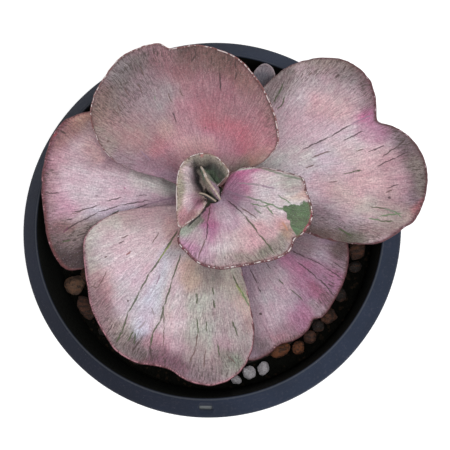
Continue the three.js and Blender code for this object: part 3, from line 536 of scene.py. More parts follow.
            "sage": [
                (0.4, 0.2, 245, 197, 264, 202.6), (0.44, 0, 254, 208, 261, 213.6),
                (0.4, 0.2, 262, 169.6, 284, 175), (0.44, 0.2, 282, 175, 306, 181),
                (0.36, 0, 256, 167.6, 278, 171)],
            "green": [
                (0.4, 0.2, 262, 202, 281, 209), (0.34, 0, 250, 203.4, 263, 206.4),
                (0.34, 0, 262, 206.6, 273, 204), (0.34, 0, 266.6, 206, 273.6, 215),
                (0.3, 0, 278, 195, 291, 204), (0.46, 0, 276, 207.4, 290, 211)],
            "brown": [
                (0.34, 0.2, 240, 207, 257, 219), (0.34, 0, 210.6, 206, 207, 222.6),
                (0.32, 0, 206, 238, 197.6, 260)],
            "dark vein": [(0.34, 0.2, 227, 200, 243.6, 215), (0.34, 0.3, 207, 222, 206, 239)],
            "dark green": [(0.36, 0.2, 243, 214.6, 259, 234), (0.34, 0, 258, 233, 275.6, 255)],
            # Painted shadow: dark lines where leaf_8's lower edge shades this leaf.
            "shade": [(0.6, 0.4, 207, 204, 200.6, 214), (0.52, 0, 201.4, 213, 187, 226.6)],
            "grey": [(0.4, 0, 238, 183, 262, 185)],
            "pale green": [(0.5, 0, 230, 172, 262, 167)],
            "apricot": [(0.5, 0, 282, 222, 288, 231)],
            "raspberry": [(0.45, 0, 312.6, 205, 310.4, 221), (0.45, 0, 310.6, 220, 300, 239)],
        },
    },
    "leaf_8": {
        # The base tone is lifted as painted light, against the shade inside the cup.
        "base": "bud skin", "rim": ("bud rim", "bright line", "clay", 0.5),
        "washes": [
            ("bud rim", 0.8, 2, 179, 212, 179, 176), ("bud olive", 0.35, 1.4, 180, 204, 181, 180),
            ("hot pink", 0.6, 3.4, 184, 220, 200, 204), ("orchid", 0.4, 2, 196, 196, 203, 208),
            ("violet shade", 0.8, 2, 193, 168, 201, 188),
            ("bud green", 0.95, 4.2, 212, 168, 222, 178),
            ("violet shade", 0.6, 1.6, 214, 163, 222, 168),
            ("shade", 0.95, 1.5, 197, 163.6, 211, 163), ("shade", 0.95, 1.1, 197.6, 164, 201, 180),
            ("shade", 0.95, 1.1, 201, 180, 207, 192), ("shade", 0.7, 1.2, 213, 177, 222, 184),
            ("grey olive", 0.8, 1.6, 184, 164, 194, 157),
            ("grey olive", 0.8, 1.6, 196, 157, 212, 157.6),
            ("grey olive", 0.75, 1.5, 214, 158, 227, 169),
            ("shaded rose", 0.8, 2.6, 183, 224, 194, 216),
            # Painted light: the pale petal wash lifts the shaded middle of the cup's left wall.
            ("pale petal", 0.6, 2.6, 189, 172, 191, 204),
            ("red", 0.95, 0.9, 200.6, 154.6, 206.6, 152.8)],
        "hatches": [
            (0.4, 2.4, 179, 170, 179, 216), (0.4, 1.6, 184, 161, 224, 164)],
        "veins": {},
    },
    "leaf_9": {
        "base": "tan rose", "rim": ("clay", "bright line", "bud rim", 0.5, 0.3),
        "washes": [
            ("bud green", 0.95, 2, 198, 166, 201, 184), ("bud green", 0.9, 1.6, 206, 166, 210, 178),
            ("mauve", 0.85, 1.3, 214, 184, 222, 196), ("bud olive", 0.8, 1.2, 204, 182, 214, 193),
            ("tan rose", 0.5, 0.6, 204, 172, 217, 193)],
        "hatches": [],
        "veins": {},
    },
    "leaf_10": {
        "base": "shade", "rim": ("bud olive", "bud olive", "bud rim", 0.5, 0.26),
        "washes": [
            ("bud olive", 0.7, 1, 200, 193, 212, 197)],
        "hatches": [],
        "veins": {},
    },
}
# The all-green part of leaf_7 lies behind these two lines, each with the green on its right.
GREEN_SECTOR = [(278, 207.5, 316, 200.5), (298, 244, 283, 210)]


def camera_axes():
    """Right, up and back of the camera. Back leans from the zenith to the front by the elevation, and
    the camera is rolled so that the pot's +X runs to the photograph's right."""
    azimuth = math.radians(CAMERA["azimuth"])
    elevation = math.radians(CAMERA["elevation"])
    back = np.array([
        math.sin(azimuth) * math.cos(elevation), -math.cos(azimuth) * math.cos(elevation),
        math.sin(elevation)])
    level = np.array([math.cos(azimuth), math.sin(azimuth), 0])
    steep = np.cross(back, level)
    right = level * math.cos(azimuth) - steep * math.sin(azimuth)
    return right, np.cross(back, right), back


RIGHT, UP, BACK = camera_axes()
EYE = np.array(CAMERA["aim"]) + BACK * CAMERA["away"]


def seen_at(pixel, points):
    """Where a pixel of the photograph falls on a surface that is given by points: the ray is cut at the
    height of the nearest point, a few times over."""
    focal = PHOTO_SIDE * LENS["focal"] / LENS["sensor"]
    middle = PHOTO_SIDE / 2
    ray = (pixel[0] - middle) / focal * RIGHT + (middle - pixel[1]) / focal * UP - BACK
    height = points[:, 2].mean()
    for _ in range(5):
        place = EYE + ray * (height - EYE[2]) / ray[2]
        nearest = np.argmin(((points[:, :2] - place[:2]) ** 2).sum(axis=1))
        height = points[nearest, 2]
    return place


def linear(tone):
    """A display colour as the linear colour that a shader takes."""
    share = np.array(TONES[tone]) / 255
    low = share / 12.92
    high = ((share + 0.055) / 1.055) ** 2.4
    return (*np.where(share <= 0.04045, low, high), 1.0)


class Value:
    """An output of a material's node. Sums, differences and products add Math nodes."""

    def __init__(self, paint, socket):
        self.paint = paint
        self.socket = socket

    def join(self, operation, first, second):
        return self.paint.node("Math", {"operation": operation}, {0: first, 1: second})

    def __add__(self, other):
        return self.join("ADD", self, other)

    def __sub__(self, other):
        return self.join("SUBTRACT", self, other)

    def __rsub__(self, other):
        return self.join("SUBTRACT", other, self)

    def __mul__(self, other):
        return self.join("MULTIPLY", self, other)

    __radd__ = __add__
    __rmul__ = __mul__


class Paint:
    """One material: its nodes come from node(), and its maths from expressions on values."""

    def __init__(self, name):
        self.material = bpy.data.materials.new(name)
        self.material.use_nodes = True
        self.tree = self.material.node_tree
        self.tree.nodes.clear()

    def node(self, kind, settings=None, inputs=None, output=0):
        """Adds a node: its settings first, then the values or links of its inputs."""
        made = self.tree.nodes.new("ShaderNode" + kind)
        for key, setting in (settings or {}).items():
            setattr(made, key, setting)
        for key, given in (inputs or {}).items():
            if isinstance(given, Value):
                self.tree.links.new(given.socket, made.inputs[key])
            else:
                made.inputs[key].default_value = given
        return Value(self, made.outputs[output])

    def place(self):
        """The object's own coordinates, in millimetres."""
        at = self.node("TexCoord", output="Object")
        return self.node("VectorMath", {"operation": "SCALE"}, {0: at, "Scale": 1 / MM})

    def stretched(self, at, scale, turn=0.0):
        return self.node("Mapping", {}, {"Vector": at, "Scale": scale, "Rotation": (0, 0, turn)})

    def noise(self, at, scale, detail=2.0, output=0):
        return self.node("TexNoise", {}, {"Vector": at, "Scale": scale, "Detail": detail}, output)

    def warped(self, at, scale, reach, detail=2.0):
        """Coordinates pushed about by noise, up to half the reach each way."""
        push = self.noise(at, scale, detail, "Color")
        centred = self.node("VectorMath", {"operation": "SUBTRACT"}, {0: push, 1: (0.5, 0.5, 0.5)})
        return self.node(
            "VectorMath", {"operation": "MULTIPLY_ADD"}, {0: centred, 1: (reach, reach, reach), 2: at})

    def clouded(self, colour, cloud, depth):
        """A colour whose red, green and blue rise and fall by their depths with noise about 0.5."""
        factor = self.node(
            "VectorMath", {"operation": "MULTIPLY_ADD"},
            {0: cloud, 1: depth, 2: tuple(1 - part / 2 for part in depth)})
        return self.node("VectorMath", {"operation": "MULTIPLY"}, {0: colour, 1: factor})

    def rise(self, value, low, high, to=1.0):
        """0 below low and `to` above high, eased between. Low may be the greater."""
        return self.node(
            "MapRange", {"interpolation_type": "SMOOTHSTEP", "clamp": False},
            {"Value": value, "From Min": low, "From Max": high, "To Min": 0.0, "To Max": to})

    def mix(self, share, under, over):
        return self.node("Mix", {"data_type": "RGBA"}, {0: share, 6: under, 7: over}, 2)

    def attribute(self, name, output="Fac"):
        return self.node("Attribute", {"attribute_name": name}, output=output)

    def along(self, axis):
        """The object's own x, y or z, in millimetres."""
        return self.node("SeparateXYZ", {}, {0: self.place()}, axis)

    def line(self, at, start, end, wide, bow=0.0):
        """A line between two places, 1 along its middle and thinning to its ends. A bow lifts its
        middle to the left. With x along and y across, each 1 at the edge, x^4 + y^4 stays below 1."""
        along = np.array(end[:2]) - np.array(start[:2])
        half = float(np.hypot(*along)) / 2 * 1.15
        middle = (np.array(start[:2]) + np.array(end[:2])) / 2
        local = self.node(
            "Mapping", {"vector_type": "TEXTURE"},
            {"Vector": at, "Location": (*middle, 0), "Scale": (half, wide, 1e6),
             "Rotation": (0, 0, math.atan2(along[1], along[0]))})
        if bow:
            part = self.node("SeparateXYZ", {}, {0: local}).socket.node
            x = Value(self, part.outputs["X"])
            y = Value(self, part.outputs["Y"])
            local = self.node("CombineXYZ", {}, {"X": x, "Y": y - (1 - x * x) * (bow / wide)})
        squared = self.node("VectorMath", {"operation": "MULTIPLY"}, {0: local, 1: local})
        far = self.node("VectorMath", {"operation": "LENGTH"}, {0: squared}, "Value")
        return self.rise(far, 1.0, 0.3)

    def finish(self, colour, roughness, bumps=(), **shader):
        """Ends the material: bumps are (height value, depth in mm) pairs, laid one on another."""
        normal = None
        for height, depth in bumps:
            inputs = {"Height": height, "Distance": depth * MM, "Strength": 1.0}
            if normal:
                inputs["Normal"] = normal
            normal = self.node("Bump", {}, inputs)
        inputs = {"Base Color": colour, "Roughness": roughness, **shader}
        if normal:
            inputs["Normal"] = normal
        surface = self.node("BsdfPrincipled", {}, inputs)
        out = self.tree.nodes.new("ShaderNodeOutputMaterial")
        self.tree.links.new(surface.socket, out.inputs["Surface"])
        return self.material


def lattice_noise(points, seed):
    """Smooth noise from 0 to 1: a number drawn for each corner of a unit lattice, eased between."""
    cell = np.floor(points).astype(np.int64)
    part = points - cell
    ease = part * part * (3 - 2 * part)
    total = np.zeros(points.shape[:-1])
    for corner in np.ndindex(2, 2, 2):
        key = cell + np.array(corner)
        drawn = key[..., 0] * 73856093 ^ key[..., 1] * 19349663 ^ key[..., 2] * 83492791 ^ seed * 7919
        drawn = (drawn ^ (drawn >> 13)) * 1274126177
        chance = ((drawn ^ (drawn >> 16)) & 0xffffff) / 0xffffff
        weight = np.where(np.array(corner) == 1, ease, 1 - ease).prod(axis=-1)
        total += weight * chance
    return total


def rough_noise(points, seed, octaves=3):
    """Lattice noise and finer copies of it, each half as strong, from about -0.5 to 0.5."""
    total = np.zeros(points.shape[:-1])
    for octave in range(octaves):
        total += (lattice_noise(points * 2 ** octave, seed + octave) - 0.5) / 2 ** octave
    return total


def add_piece(name, points, faces, material, node):
    """A mesh object in the shared frame, which rides on the body and stands for its solid."""
    mesh = bpy.data.meshes.new(name)
    mesh.from_pydata((points * MM).tolist(), [], faces)
    mesh.materials.append(material)
    mesh.shade_smooth()
    piece = bpy.data.objects.new(name, mesh)
    bpy.context.scene.collection.objects.link(piece)
    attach(piece, "root")
    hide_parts(node)
    return piece


def point_attribute(piece, name, values):
    layer = piece.data.attributes.new(name, "FLOAT", "POINT")
    layer.data.foreach_set("value", np.asarray(values, np.float32).ravel())


def colour_attribute(piece, name, values):
    layer = piece.data.color_attributes.new(name, "FLOAT_COLOR", "POINT")
    layer.data.foreach_set("color", np.asarray(values, np.float32).ravel())


def uv_map(piece, across, out):
    """A UV map in millimetres from one pair of numbers for each vertex."""
    mesh = piece.data
    corner = np.zeros(len(mesh.loops), np.int32)
    mesh.loops.foreach_get("vertex_index", corner)
    pairs = np.stack([across[corner], out[corner]], axis=1).astype(np.float32)
    mesh.uv_layers.new(name="leaf").data.foreach_set("uv", pairs.ravel())


def ring_faces(rows, sides):
    """Quads between rows of a surface that closes on itself after `sides` points."""
    row, side = np.meshgrid(np.arange(rows - 1), np.arange(sides), indexing="ij")
    low = row * sides
    high = low + sides
    after = (side + 1) % sides
    quads = [low + side, low + after, high + after, high + side]
    return np.stack(quads, axis=-1).reshape(-1, 4).tolist()


def closed_faces(rows, sides):
    """Ring faces, and fans that close the first row and the last on the two points that follow them."""
    count = rows * sides
    last = count - sides
    faces = ring_faces(rows, sides)
    faces += [(count, (i + 1) % sides, i) for i in range(sides)]
    faces += [(count + 1, last + i, last + (i + 1) % sides) for i in range(sides)]
    return faces


# The leaves


def stem_radius(height):
    return np.interp(height, STEM_PROFILE[1:, 1], STEM_PROFILE[1:, 0])


def from_stem(azimuth, reach, height):
    """A place by its azimuth in degrees and its reach from the stem's middle."""
    turn = np.radians(azimuth)
    x = STEM_X + reach * np.cos(turn)
    y = STEM_Y + reach * np.sin(turn)
    return np.stack(np.broadcast_arrays(x, y, height), axis=-1)


def smooth_curve(points, count):
    """A centripetal Catmull-Rom curve through the points, at evenly spaced places along it."""
    ends = np.vstack([2 * points[0] - points[1], points, 2 * points[-1] - points[-2]])
    share = np.linspace(0, 1, 60, endpoint=False)[:, None]
    drawn = []
    for p0, p1, p2, p3 in zip(ends, ends[1:], ends[2:], ends[3:]):
        t1 = math.dist(p0, p1) ** 0.5
        t2 = t1 + math.dist(p1, p2) ** 0.5
        t3 = t2 + math.dist(p2, p3) ** 0.5
        t = t1 + (t2 - t1) * share
        a1 = (t1 - t) / t1 * p0 + t / t1 * p1
        a2 = (t2 - t) / (t2 - t1) * p1 + (t - t1) / (t2 - t1) * p2
        a3 = (t3 - t) / (t3 - t2) * p2 + (t - t2) / (t3 - t2) * p3
        b1 = (t2 - t) / t2 * a1 + t / t2 * a2
        b2 = (t3 - t) / (t3 - t1) * a2 + (t - t1) / (t3 - t1) * a3
        drawn.append((t2 - t) / (t2 - t1) * b1 + (t - t1) / (t2 - t1) * b2)
    line = np.vstack([*drawn, points[-1:]])
    step = np.hypot.reduce(np.diff(line, axis=0), axis=1)
    gone = np.concatenate([[0], np.cumsum(step)])
    even = np.linspace(0, gone[-1], count)
    return np.stack([np.interp(even, gone, line[:, i]) for i in range(3)], axis=-1), gone[-1]


def eased(value, low, high):
    share = np.clip((value - low) / (high - low), 0, 1)
    return share * share * (3 - 2 * share)


# How far from the margin the last rows of a blade lie, and each blade's columns and rows.
LIP = np.array([2.6, 1.5, 0.9, 0.55, 0.3, 0.14, 0.04, 0.0])
LEAF_SIZE = {"leaf_1": (200, 40), "leaf_8": (300, 56), "leaf_9": (120, 40), "leaf_10": (100, 36)}
BROAD_LEAF_SIZE = (400, 56)


def leaf_sheet(leaf, columns, rows):
    """The middle sheet of a leaf, rows from the foot to the margin.

    Each column runs straight, seen from above, from the foot to the margin. On the way out it climbs
    w^s / (w^s + ((1 - w) b / (1 - b))^s), half its rise at the bend b. A crown sin(pi w) sin(pi a) lifts
    the middle and ripples grow towards the edge as w^3. The margin is scalloped inwards by noise."""
    margin, length = smooth_curve(from_stem(*np.array(leaf["margin"], float).T), columns)
    across = np.linspace(0, 1, columns)
    first, last, foot_height = leaf["foot"]
    foot_reach = leaf.get("foot_reach", stem_radius(foot_height) + LEAF_GAP)
    foot = from_stem(first + (last - first) * across, foot_reach, foot_height)
    run = np.hypot.reduce(margin - foot, axis=1)
    seed = len(leaf["margin"]) * 31 + int(foot_height)
    along = np.stack([across * length, np.zeros(columns), np.zeros(columns)], axis=-1)
    teeth = lattice_noise(along / 3.4, seed) * 0.24 + lattice_noise(along / 1.2, seed + 1) * 0.16
    scallop = leaf.get("trim", 0.14) + teeth * np.minimum(1, run / 30)
    edge = margin - (margin - foot) * (scallop / run)[:, None]
    lip = LIP[:, None] * np.minimum(1, run * 0.3 / LIP[0])
    steady = np.linspace(0, 1, rows - len(LIP) + 1)[:-1, None] * (1 - lip[0] / run)
    way = np.vstack([steady, 1 - lip / run])
    bend = leaf["bend"][0] + (leaf["bend"][1] - leaf["bend"][0]) * eased(across, 0.4, 0.65)
    out = way ** leaf["steep"]
    climb = out / (out + ((1 - way) * bend / (1 - bend)) ** leaf["steep"])
    sheet = foot + (edge - foot) * way[..., None]
    sheet[..., 2] = foot_height + (edge[:, 2] - foot_height) * climb
    sheet[..., 2] += leaf["crown"] * np.sin(np.pi * way) * np.sin(np.pi * across)
    ripple, waves, start = leaf["ripple"]
    sheet[..., 2] += ripple * way ** 3 * np.sin(2 * np.pi * waves * across + start)
    frill = (lattice_noise(along / 2.6, seed + 2) - 0.5) * 0.5 * np.minimum(1, run / 30)
    sheet[..., 2] += frill * eased(way * run, run - 4, run)
    return sheet, way, across, length, run


def leaf_mesh(leaf, columns, rows):
    """A blade: the sheet thickened to both sides, with ribs along it and a rounded lip."""
    sheet, way, across, length, run = leaf_sheet(leaf, columns, rows)
    lengthwise = np.gradient(sheet, axis=0)
    sidewise = np.gradient(sheet, axis=1)
    square = np.cross(lengthwise, sidewise)
    square /= np.linalg.norm(square, axis=-1, keepdims=True)
    turned_over = square[..., 2].mean() < 0
    if turned_over:
        square = -square
    root, tip = leaf["thick"]
    half = (root + (tip - root) * way ** leaf.get("fading", 0.6)) / 2
    if leaf.get("pinched"):
        half = np.maximum(tip / 2, half * np.sin(np.pi * across))
    side_step = np.linalg.norm(np.diff(sheet, axis=1), axis=-1)
    from_first = np.concatenate([np.zeros((rows, 1)), np.cumsum(side_step, axis=1)], axis=1)
    to_side = np.minimum(from_first, from_first[:, -1:] - from_first)
    to_rim = np.minimum((1 - way) * run, to_side)
    lip = tip / 2 + 0.1
    half = half * np.sqrt(1 - (1 - np.minimum(to_rim / lip, 1)) ** 2)
    rib_place = np.stack([across * length / 2.2 + 0 * way, way * run / 26, np.zeros_like(way)], axis=-1)
    rib = rough_noise(rib_place, len(leaf["margin"]), 3) * 0.3 * np.minimum(1, to_rim / 2)
    skins = []
    for side, relief in ((1, rib), (-1, 0.5 * rib)):
        skin = sheet + square * (side * half + side * relief * np.minimum(1, way * 3))[..., None]
        x = skin[..., 0] - STEM_X
        y = skin[..., 1] - STEM_Y
        off = np.maximum(1, (stem_radius(skin[..., 2]) + LEAF_GAP) / np.hypot(x, y))
        skins.append(np.stack([STEM_X + x * off, STEM_Y + y * off, skin[..., 2]], axis=-1))
    upper = np.arange(rows * columns).reshape(rows, columns)
    lower = upper + rows * columns
    lower[-1] = upper[-1]
    lower[:, 0] = upper[:, 0]
    lower[:, -1] = upper[:, -1]
    faces = []
    for grid, flip in ((upper, turned_over), (lower, not turned_over)):
        corners = [grid[:-1, :-1], grid[1:, :-1], grid[1:, 1:], grid[:-1, 1:]]
        faces.append(np.stack(corners[::-1] if flip else corners, axis=-1).reshape(-1, 4))
    cap = [upper[0, :-1], upper[0, 1:], lower[0, 1:], lower[0, :-1]]
    faces.append(np.stack(cap[::-1] if turned_over else cap, axis=-1))
    faces = [tuple(dict.fromkeys(face)) for face in np.vstack(faces).tolist()]
    points = np.concatenate([skins[0].reshape(-1, 3), skins[1].reshape(-1, 3)])
    used = np.zeros(len(points), bool)
    used[np.unique(np.concatenate([np.array(face) for face in faces]))] = True
    number = np.cumsum(used) - 1
    made = {"points": points[used], "sheet": skins[0].reshape(-1, 3)}
    made["faces"] = [tuple(number[list(face)].tolist()) for face in faces]
    made["under"] = np.repeat([0.0, 1.0], rows * columns)[used]
    for name, grid in (("rim", to_rim), ("across", across * length), ("out", way * run)):
        made[name] = np.tile(np.broadcast_to(grid, (rows, columns)).ravel(), 2)[used]
    return made


def wavy_plan(leaf, points):
    """The points' x and y, pushed about by noise, so that the sides of what is laid on them waver."""
    seed = int(leaf["name"].split("_")[1]) * 10
    push = [rough_noise(points / 7 + shift, seed + shift, 3) for shift in (0, 5)]
    return points[:, :2] + np.stack(push, axis=-1) * 3.4


def nearness(plan, top, ends, wide):
    """How near places lie to a stretch of a leaf between two pixels: 1 by it, eased to 0 at 1.5 times
    the width."""
    first = seen_at(ends[:2], top)[:2]
    along = seen_at(ends[2:4], top)[:2] - first
    share = np.clip((plan - first) @ along / (along @ along), 0, 1)
    far = np.hypot.reduce(plan - first - share[:, None] * along, axis=1)
    return 1 - eased(far / wide, 0.3, 1.5)


def leaf_tint(marks, plan, top, rim):
    """The leaf's colour before its grain: the base tone with the washes laid on it in their order."""
    tint = np.tile(linear(marks["base"]), (len(plan), 1))
    for tone, strength, wide, *ends in marks["washes"]:
        share = strength * nearness(plan, top, ends, wide)
        if len(ends) > 4:
            share *= 1 - eased(rim, ends[4] * 0.4, ends[4])
        tint += (linear(tone) - tint) * share[:, None]
    return tint


def leaf_hatching(marks, plan, top):
    """Where the fine dark streaks gather on the leaf, from 0 to 1."""
    gathered = np.zeros(len(plan))
    for strength, wide, *ends in marks["hatches"]:
        gathered = np.maximum(gathered, strength * nearness(plan, top, ends, wide))
    return gathered


def leaf_material(name, marks, top):
    """Powdery leaf skin: the washes with a cloudy grain, fine streaks that fan out from the foot, veins
    where they lie on this leaf, and a thin two-toned rim. Some washes and lines are painted shade and
    some are painted light; the rim holds a painted highlight and painted shade."""
    paint = Paint(name)
    place = paint.place()
    fan = paint.node("UVMap", {"uv_map": "leaf"})
    swayed = paint.warped(fan, 0.1, 4.0)
    cloud = paint.noise(place, 0.14, 3.0)
    grain = paint.noise(place, 1.5, 4.0)
    fine = paint.noise(place, 2.6, 2.0)
    fibre = paint.noise(paint.stretched(swayed, (0.5, 0.06, 1)), 1.0, 4.0)
    strand = paint.noise(paint.stretched(swayed, (2.0, 0.24, 1)), 1.0, 2.0)
    hair = paint.noise(paint.stretched(swayed, (1.8, 0.42, 1)), 1.0, 4.0)

    colour = paint.attribute("tint", "Color")
    if name == "leaf_7":
        leafy = paint.mix(paint.rise(grain, 0.42, 0.62), linear("green"), linear("deep green"))
        colour = paint.mix(green_sector(paint, place, top), colour, leafy)
    colour = paint.clouded(colour, cloud, (0.15, -0.25, -0.1))
    colour = paint.clouded(colour, fibre, (0.25, 0.55, 0.4))
    colour = paint.clouded(colour, grain, (1.3, 1.45, 1.3))
    colour = paint.clouded(colour, strand, (1.1, 1.2, 1.1))
    mealy = paint.rise(fine, 0.56, 0.72, 0.22)
    colour = paint.mix(mealy, colour, linear("white"))
    streak = paint.rise(hair, 0.5, 0.62) * (0.06 + paint.attribute("hatching") * 0.85)
    colour = paint.mix(streak, colour, linear("streak"))
    colour = with_veins(paint, colour, place, marks["veins"], top)
    rim = paint.attribute("rim")
    if len(marks["rim"]) > 4:
        rim = rim * (1 / marks["rim"][4])
    colour = with_rim(paint, colour, rim, fan, marks["rim"])

    if name not in ("leaf_9", "leaf_10"):
        back = paint.mix(paint.rise(fibre, 0.35, 0.65), linear("grey olive"), linear("dusty rose"))
        back = paint.clouded(back, grain, (0.9, 0.9, 0.9))
        # Painted shade: the underside darkens to maroon towards the rim, over its red edge.
        back = paint.mix(paint.rise(rim, 1.6, 0.6, 0.7), back, linear("maroon"))
        colour = paint.mix(paint.attribute("under"), colour, back)
    return paint.finish(
        colour, 0.62 + mealy * 0.4, [(fibre, 0.1), (grain, 0.1), (strand, 0.06)],
        **{"Specular IOR Level": 0.3, "Sheen Weight": 0.08, "Sheen Roughness": 0.5})


def with_veins(paint, colour, place, veins, top):
    """The colour with its veins, whose sides are ragged. All veins of a tone are laid on at once."""
    ragged = paint.warped(place, 0.45, 1.3, 5.0)
    for tone, lines in veins.items():
        drawn = None
        for wide, bow, *ends in lines:
            line = paint.line(ragged, seen_at(ends[:2], top), seen_at(ends[2:], top), wide, bow)
            drawn = line if drawn is None else drawn.join("MAXIMUM", drawn, line)
        colour = paint.mix(drawn * 0.85, colour, linear(tone))
    return colour


def with_rim(paint, colour, rim, fan, tones):
    """The colour with its rim, by the distance from the margin in mm: a soft inner band with dark
    flecks, an outer band, light dashes along it where the noise passes the gap, and the very edge. The
    dashes are a pale margin with a painted highlight on the rounded lip; the outer band and the very
    edge are a red edge darkened as painted shade on the lip's outer side."""
    inner, line_tone, outer = (linear(tone) for tone in tones[:3])
    gap = tones[3]
    dash = paint.noise(paint.stretched(fan, (0.34, 0.1, 1)), 1.0, 4.0) * 0.6
    dash = dash + paint.noise(paint.stretched(fan, (1.5, 0.4, 1)), 1.0, 2.0) * 0.4
    fleck = paint.noise(paint.stretched(fan, (1.0, 0.8, 1)), 1.0, 2.0)
    colour = paint.mix(paint.rise(rim, 2.2, 0.5, 0.4), colour, inner)
    flecked = paint.rise(rim, 1.8, 0.9) * paint.rise(fleck, 0.5, 0.6)
    colour = paint.mix(flecked * 0.7, colour, linear("wine shade"))
    # Painted shade: the outer band and the very edge darken a red edge on the lip's outer side.
    colour = paint.mix(paint.rise(rim, 1.1, 0.6, 0.5), colour, outer)
    # Painted highlight: light dashes along the rounded lip, over a pale margin.
    lit = paint.rise(dash, gap - 0.02, gap + 0.04, 0.8)
    colour = paint.mix(paint.rise(rim, 0.85, 0.6) * lit, colour, line_tone)
    return paint.mix(paint.rise(rim, 0.4, 0.2, 0.9), colour, outer)


def green_sector(paint, place, top):
    """1 in the all-green part of leaf_7: on the right of both lines, whose edges are wavy."""
    wavy = paint.warped(place, 0.4, 3.4, 5.0)
    inside = None
    for ends in GREEN_SECTOR:
        first = seen_at(ends[:2], top)
        along = (seen_at(ends[2:], top) - first)[:2]
        right = np.array([along[1], -along[0]]) / np.hypot(*along)
        inputs = {0: wavy, 1: (*right.tolist(), 0.0)}
        reach = paint.node("VectorMath", {"operation": "DOT_PRODUCT"}, inputs, "Value")
        beyond = paint.rise(reach - float(first[:2] @ right), -0.15, 0.25)
        inside = beyond if inside is None else inside * beyond
    return inside


def make_leaves():
    for leaf in LEAVES:
        name = leaf["name"]
        marks = MARKS[name]
        made = leaf_mesh(leaf, *LEAF_SIZE.get(name, BROAD_LEAF_SIZE))
        top = made["sheet"]
        material = leaf_material(name, marks, top)
        piece = add_piece(name + "_blade", made["points"], made["faces"], material, name)
        plan = wavy_plan(leaf, made["points"])
        colour_attribute(piece, "tint", leaf_tint(marks, plan, top, made["rim"]))
        point_attribute(piece, "hatching", leaf_hatching(marks, plan, top))
        for layer in ("rim", "under"):
            point_attribute(piece, layer, made[layer])
        uv_map(piece, made["across"], made["out"])


# The pot


def inner_radius(height):
    return BASE_RADIUS - WALL + (MOUTH_RADIUS - BASE_RADIUS + WALL) * height / POT_HEIGHT


def rounded(profile, radii, steps=6):
    """A profile whose corners are drawn as quadratic curves that leave each leg at the radius."""
    line = [profile[0]]
    for before, corner, after, radius in zip(profile, profile[1:], profile[2:], radii):
        toward = (before - corner) * min(0.5, radius / max(math.dist(before, corner), 1e-6))
        onward = (after - corner) * min(0.5, radius / max(math.dist(after, corner), 1e-6))
        for share in np.linspace(0, 1, steps):
            line.append(corner + toward * (1 - share) ** 2 + onward * share ** 2)
    line.append(profile[-1])
    return np.array(line)


def densely(profile, spacing):
    """A profile with points added so that no leg is longer than the spacing."""
    line = [profile[:1]]
    for start, end in zip(profile, profile[1:]):
        count = max(1, math.ceil(math.dist(start, end) / spacing))
        line.append(start + (end - start) * np.linspace(0, 1, count + 1)[1:, None])
    return np.vstack(line)


def turned(profile, sides):
    """Points of a profile of (radius, height) turned about the vertical, one ring to each."""
    turn = np.linspace(0, 2 * np.pi, sides, endpoint=False)
    radius, height = profile.T[:, :, None]
    return np.stack(
        np.broadcast_arrays(radius * np.cos(turn), radius * np.sin(turn), height), axis=-1)


def flange_top(reach):
    """The height of the flange's sloping top at a reach."""
    return POT_HEIGHT - FLANGE_DROP - (reach - MOUTH_RADIUS - FLANGE_START) * FLANGE_FALL


def pot_material():
    """Satin moulded plastic with dust and fine rubs: slate outside, darker on its left side as painted
    shade, near black within as painted shade, and with a thin pale painted highlight along the lip.
    """
    paint = Paint("pot plastic")
    place = paint.place()
    inside = paint.attribute("inside")
    cloud = paint.noise(place, 0.05, 4.0)
    dust = paint.noise(place, 0.9, 4.0)
    rub = paint.noise(paint.stretched(place, (0.5, 0.5, 6.0)), 1.0, 2.0)
    fleck = paint.noise(place, 2.2, 1.0)
    # Painted shade: the pot's left side is painted darker than its right, as if lit from the right.
    colour = paint.mix(paint.rise(paint.along("X"), -45, 45), linear("pot shaded"), linear("pot"))
    colour = paint.mix(paint.rise(cloud, 0.35, 0.65, 0.2), colour, linear("soil"))
    # Painted highlight: a thin pale line along the rounded lip of the mouth.
    lip = paint.rise(paint.along("Z"), POT_HEIGHT - 0.3, POT_HEIGHT - 0.02, 0.25)
    colour = paint.mix(lip, colour, linear("pot pale grey"))
    colour = paint.mix(paint.rise(dust, 0.5, 0.75, 0.05), colour, linear("grey"))
    colour = paint.mix(paint.rise(fleck, 0.74, 0.8, 0.12), colour, linear("white"))
    # Painted shade: the inside of the pot is painted near black.
    colour = paint.mix(inside, colour, linear("pot inside shade"))
    # The floors of the hanger slots are painted pale grey.
    colour = paint.mix(paint.attribute("sunk"), colour, linear("pot pale grey"))
    roughness = 0.45 + paint.rise(dust, 0.4, 0.7, 0.2) + inside * 0.2
    return paint.finish(colour, roughness, [(rub, 0.02), (dust, 0.015)], **{"Specular IOR Level": 0.08})


